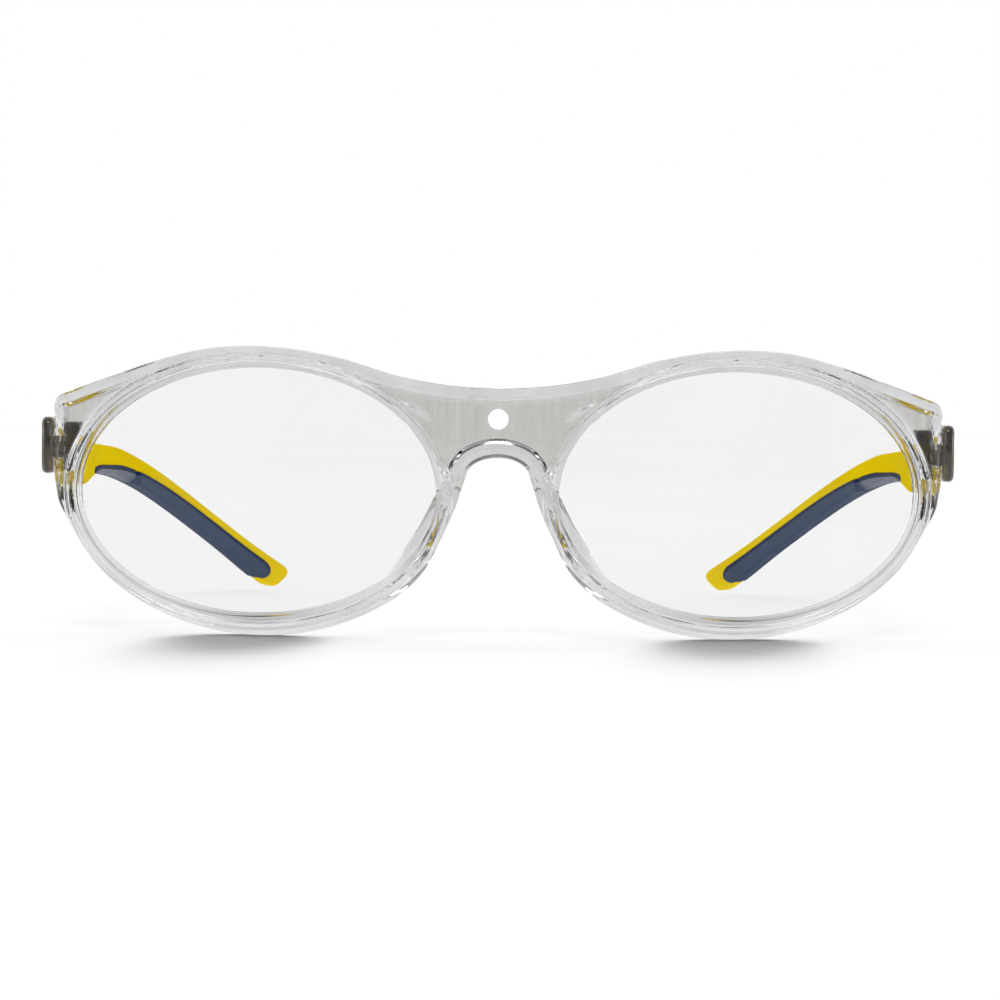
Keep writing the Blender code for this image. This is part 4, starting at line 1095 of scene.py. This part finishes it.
# ------------------------------------------------------------------ pieces
def build_pieces():
    lens = lens_material()
    smoke, yellow, blue, steel = smoke_material(), yellow_material(), pad_material(), steel_material()
    front = front_mesh("clear_front", frame_material(), "front")
    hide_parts("front_frame")
    for side, tag in ((1.0, "left"), (-1.0, "right")):
        made = ((lens_mesh, "clear_lens_", lens, "front", "lens_", "lens"),
                (block_mesh, "smoked_bracket_", smoke, "front", "hinge_block_", "smoked_clip"),
                (cap_mesh, "smoked_cap_", smoke, "front", "clip_cap_", "smoked_clip"),
                (pin_mesh, "steel_pin_", steel, "front", "hinge_pin_", "steel_pin"),
                (arm_mesh, "yellow_arm_", yellow, "temple_" + tag, "temple_arm_", "yellow_arm"),
                (pad_mesh, "soft_pad_", blue, "temple_" + tag, "temple_pad_", "blue_grey_pad"))
        for build, name, mat, body, node, slot in made:
            piece = build(name + tag, side, mat, body)
            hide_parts(node + tag)
            piece.visible_shadow = build is lens_mesh
            piece.visible_diffuse = build is not arm_mesh


# ------------------------------------------------------------------ stage, light and camera
def build_stage():
    verts = [(-4, -4, 0), (4, -4, 0), (4, 6, 0), (-4, 6, 0)]
    mesh = bpy.data.meshes.new("floor")
    mesh.from_pydata(verts, [], [(0, 1, 2, 3)])
    mesh.materials.append(floor_material())
    floor = bpy.data.objects.new("floor", mesh)
    floor.location.z = -0.0001
    bpy.context.collection.objects.link(floor)


BACKDROP = ((-1.0, 0.12), (-0.5, 0.28), (0.0, 0.50), (0.40, 1.028), (1.0, 1.028))
SOFTBOXES = (((0.0, -0.55, 0.83), 6.0, 13.0, 6.0),
             ((-0.83, -0.55, 0.12), 5.0, 12.0, 5.0),
             ((0.83, -0.55, 0.12), 5.0, 12.0, 5.0))
SUN_STRENGTH = 8.2
SUN_ANGLE = 24.0
SUN_TILT = -70.0
SUN_TURN = -6.0


def build_world():
    """White backdrop, darker behind the camera, with soft boxes above and to the sides."""
    world = bpy.data.worlds.new("studio")
    bpy.context.scene.world = world
    world.use_nodes = True
    tree = world.node_tree

    def add(kind, **values):
        node = tree.nodes.new(kind)
        for key, value in values.items():
            setattr(node, key, value)
        return node

    direction = add("ShaderNodeTexCoord").outputs["Generated"]
    split = add("ShaderNodeSeparateXYZ")
    tree.links.new(direction, split.inputs[0])
    curve = add("ShaderNodeFloatCurve")
    points = curve.mapping.curves[0].points
    while len(points) < len(BACKDROP):
        points.new(0.5, 0.5)
    for point, (y, value) in zip(points, BACKDROP):
        point.location = (0.5 + 0.5 * y, value)
        point.handle_type = "AUTO_CLAMPED"
    curve.mapping.update()
    scale = add("ShaderNodeMapRange")
    scale.inputs["From Min"].default_value = -1.0
    tree.links.new(split.outputs["Y"], scale.inputs["Value"])
    tree.links.new(scale.outputs["Result"], curve.inputs["Value"])
    total = curve.outputs["Value"]
    for toward, inner, outer, radiance in SOFTBOXES:
        dot = add("ShaderNodeVectorMath", operation="DOT_PRODUCT")
        tree.links.new(direction, dot.inputs[0])
        dot.inputs[1].default_value = Vector(toward).normalized()
        edge = add("ShaderNodeMapRange", interpolation_type="SMOOTHSTEP")
        edge.inputs["From Min"].default_value = math.cos(math.radians(outer))
        edge.inputs["From Max"].default_value = math.cos(math.radians(inner))
        edge.inputs["To Max"].default_value = radiance
        tree.links.new(dot.outputs["Value"], edge.inputs["Value"])
        plus = add("ShaderNodeMath", operation="ADD")
        tree.links.new(total, plus.inputs[0])
        tree.links.new(edge.outputs["Result"], plus.inputs[1])
        total = plus.outputs[0]
    path = add("ShaderNodeLightPath")
    pick = add("ShaderNodeMix")
    pick.inputs["B"].default_value = 1.0
    tree.links.new(path.outputs["Is Camera Ray"], pick.inputs["Factor"])
    tree.links.new(total, pick.inputs["A"])
    back = tree.nodes["Background"]
    tree.links.new(pick.outputs["Result"], back.inputs["Strength"])
    back.inputs["Color"].default_value = (1.0, 1.0, 1.0, 1.0)


def build_lights():
    data = bpy.data.lights.new("sky_sun", "SUN")
    data.energy = SUN_STRENGTH
    data.angle = math.radians(SUN_ANGLE)
    sun = bpy.data.objects.new("sky_sun", data)
    sun.rotation_euler = (math.radians(SUN_TILT), 0, math.radians(SUN_TURN))
    sun.visible_glossy = False
    sun.visible_transmission = False
    bpy.context.collection.objects.link(sun)
    lit = bpy.data.collections.new("lit_by_sun")
    for obj in bpy.context.scene.objects:
        if obj.type == "MESH" and not obj.name.startswith(("yellow_arm_", "soft_pad_")):
            lit.objects.link(obj)
    sun.light_linking.receiver_collection = lit


CAMERA_DISTANCE = 460.0
CAMERA_HEIGHT = 34.6
CAMERA_LENS = 107.64
CAMERA_DOWN = 1.60922
CAMERA_PAN = 0.04791
CAMERA_ROLL = -0.57
SENSOR_WIDTH = 36.0


def build_camera():
    """Camera in front of the part, a little above its middle, looking slightly down."""
    data = bpy.data.cameras.new("camera")
    data.sensor_width = SENSOR_WIDTH
    data.lens = CAMERA_LENS
    data.clip_start, data.clip_end = 0.01, 100.0
    cam = bpy.data.objects.new("camera", data)
    bpy.context.collection.objects.link(cam)
    cam.location = (0.0, (-CAMERA_DISTANCE + Y_SHIFT) * MM, CAMERA_HEIGHT * MM)
    pan, down = math.radians(CAMERA_PAN), math.radians(CAMERA_DOWN)
    look = Vector((math.sin(pan), math.cos(pan), -math.tan(down)))
    roll = Quaternion(look.normalized(), math.radians(CAMERA_ROLL))
    cam.rotation_mode = "QUATERNION"
    cam.rotation_quaternion = roll @ look.to_track_quat("-Z", "Y")
    bpy.context.scene.camera = cam


build_camera()
build_stage()
build_world()
build_pieces()
build_lights()
bpy.context.scene.view_settings.view_transform = "Standard"
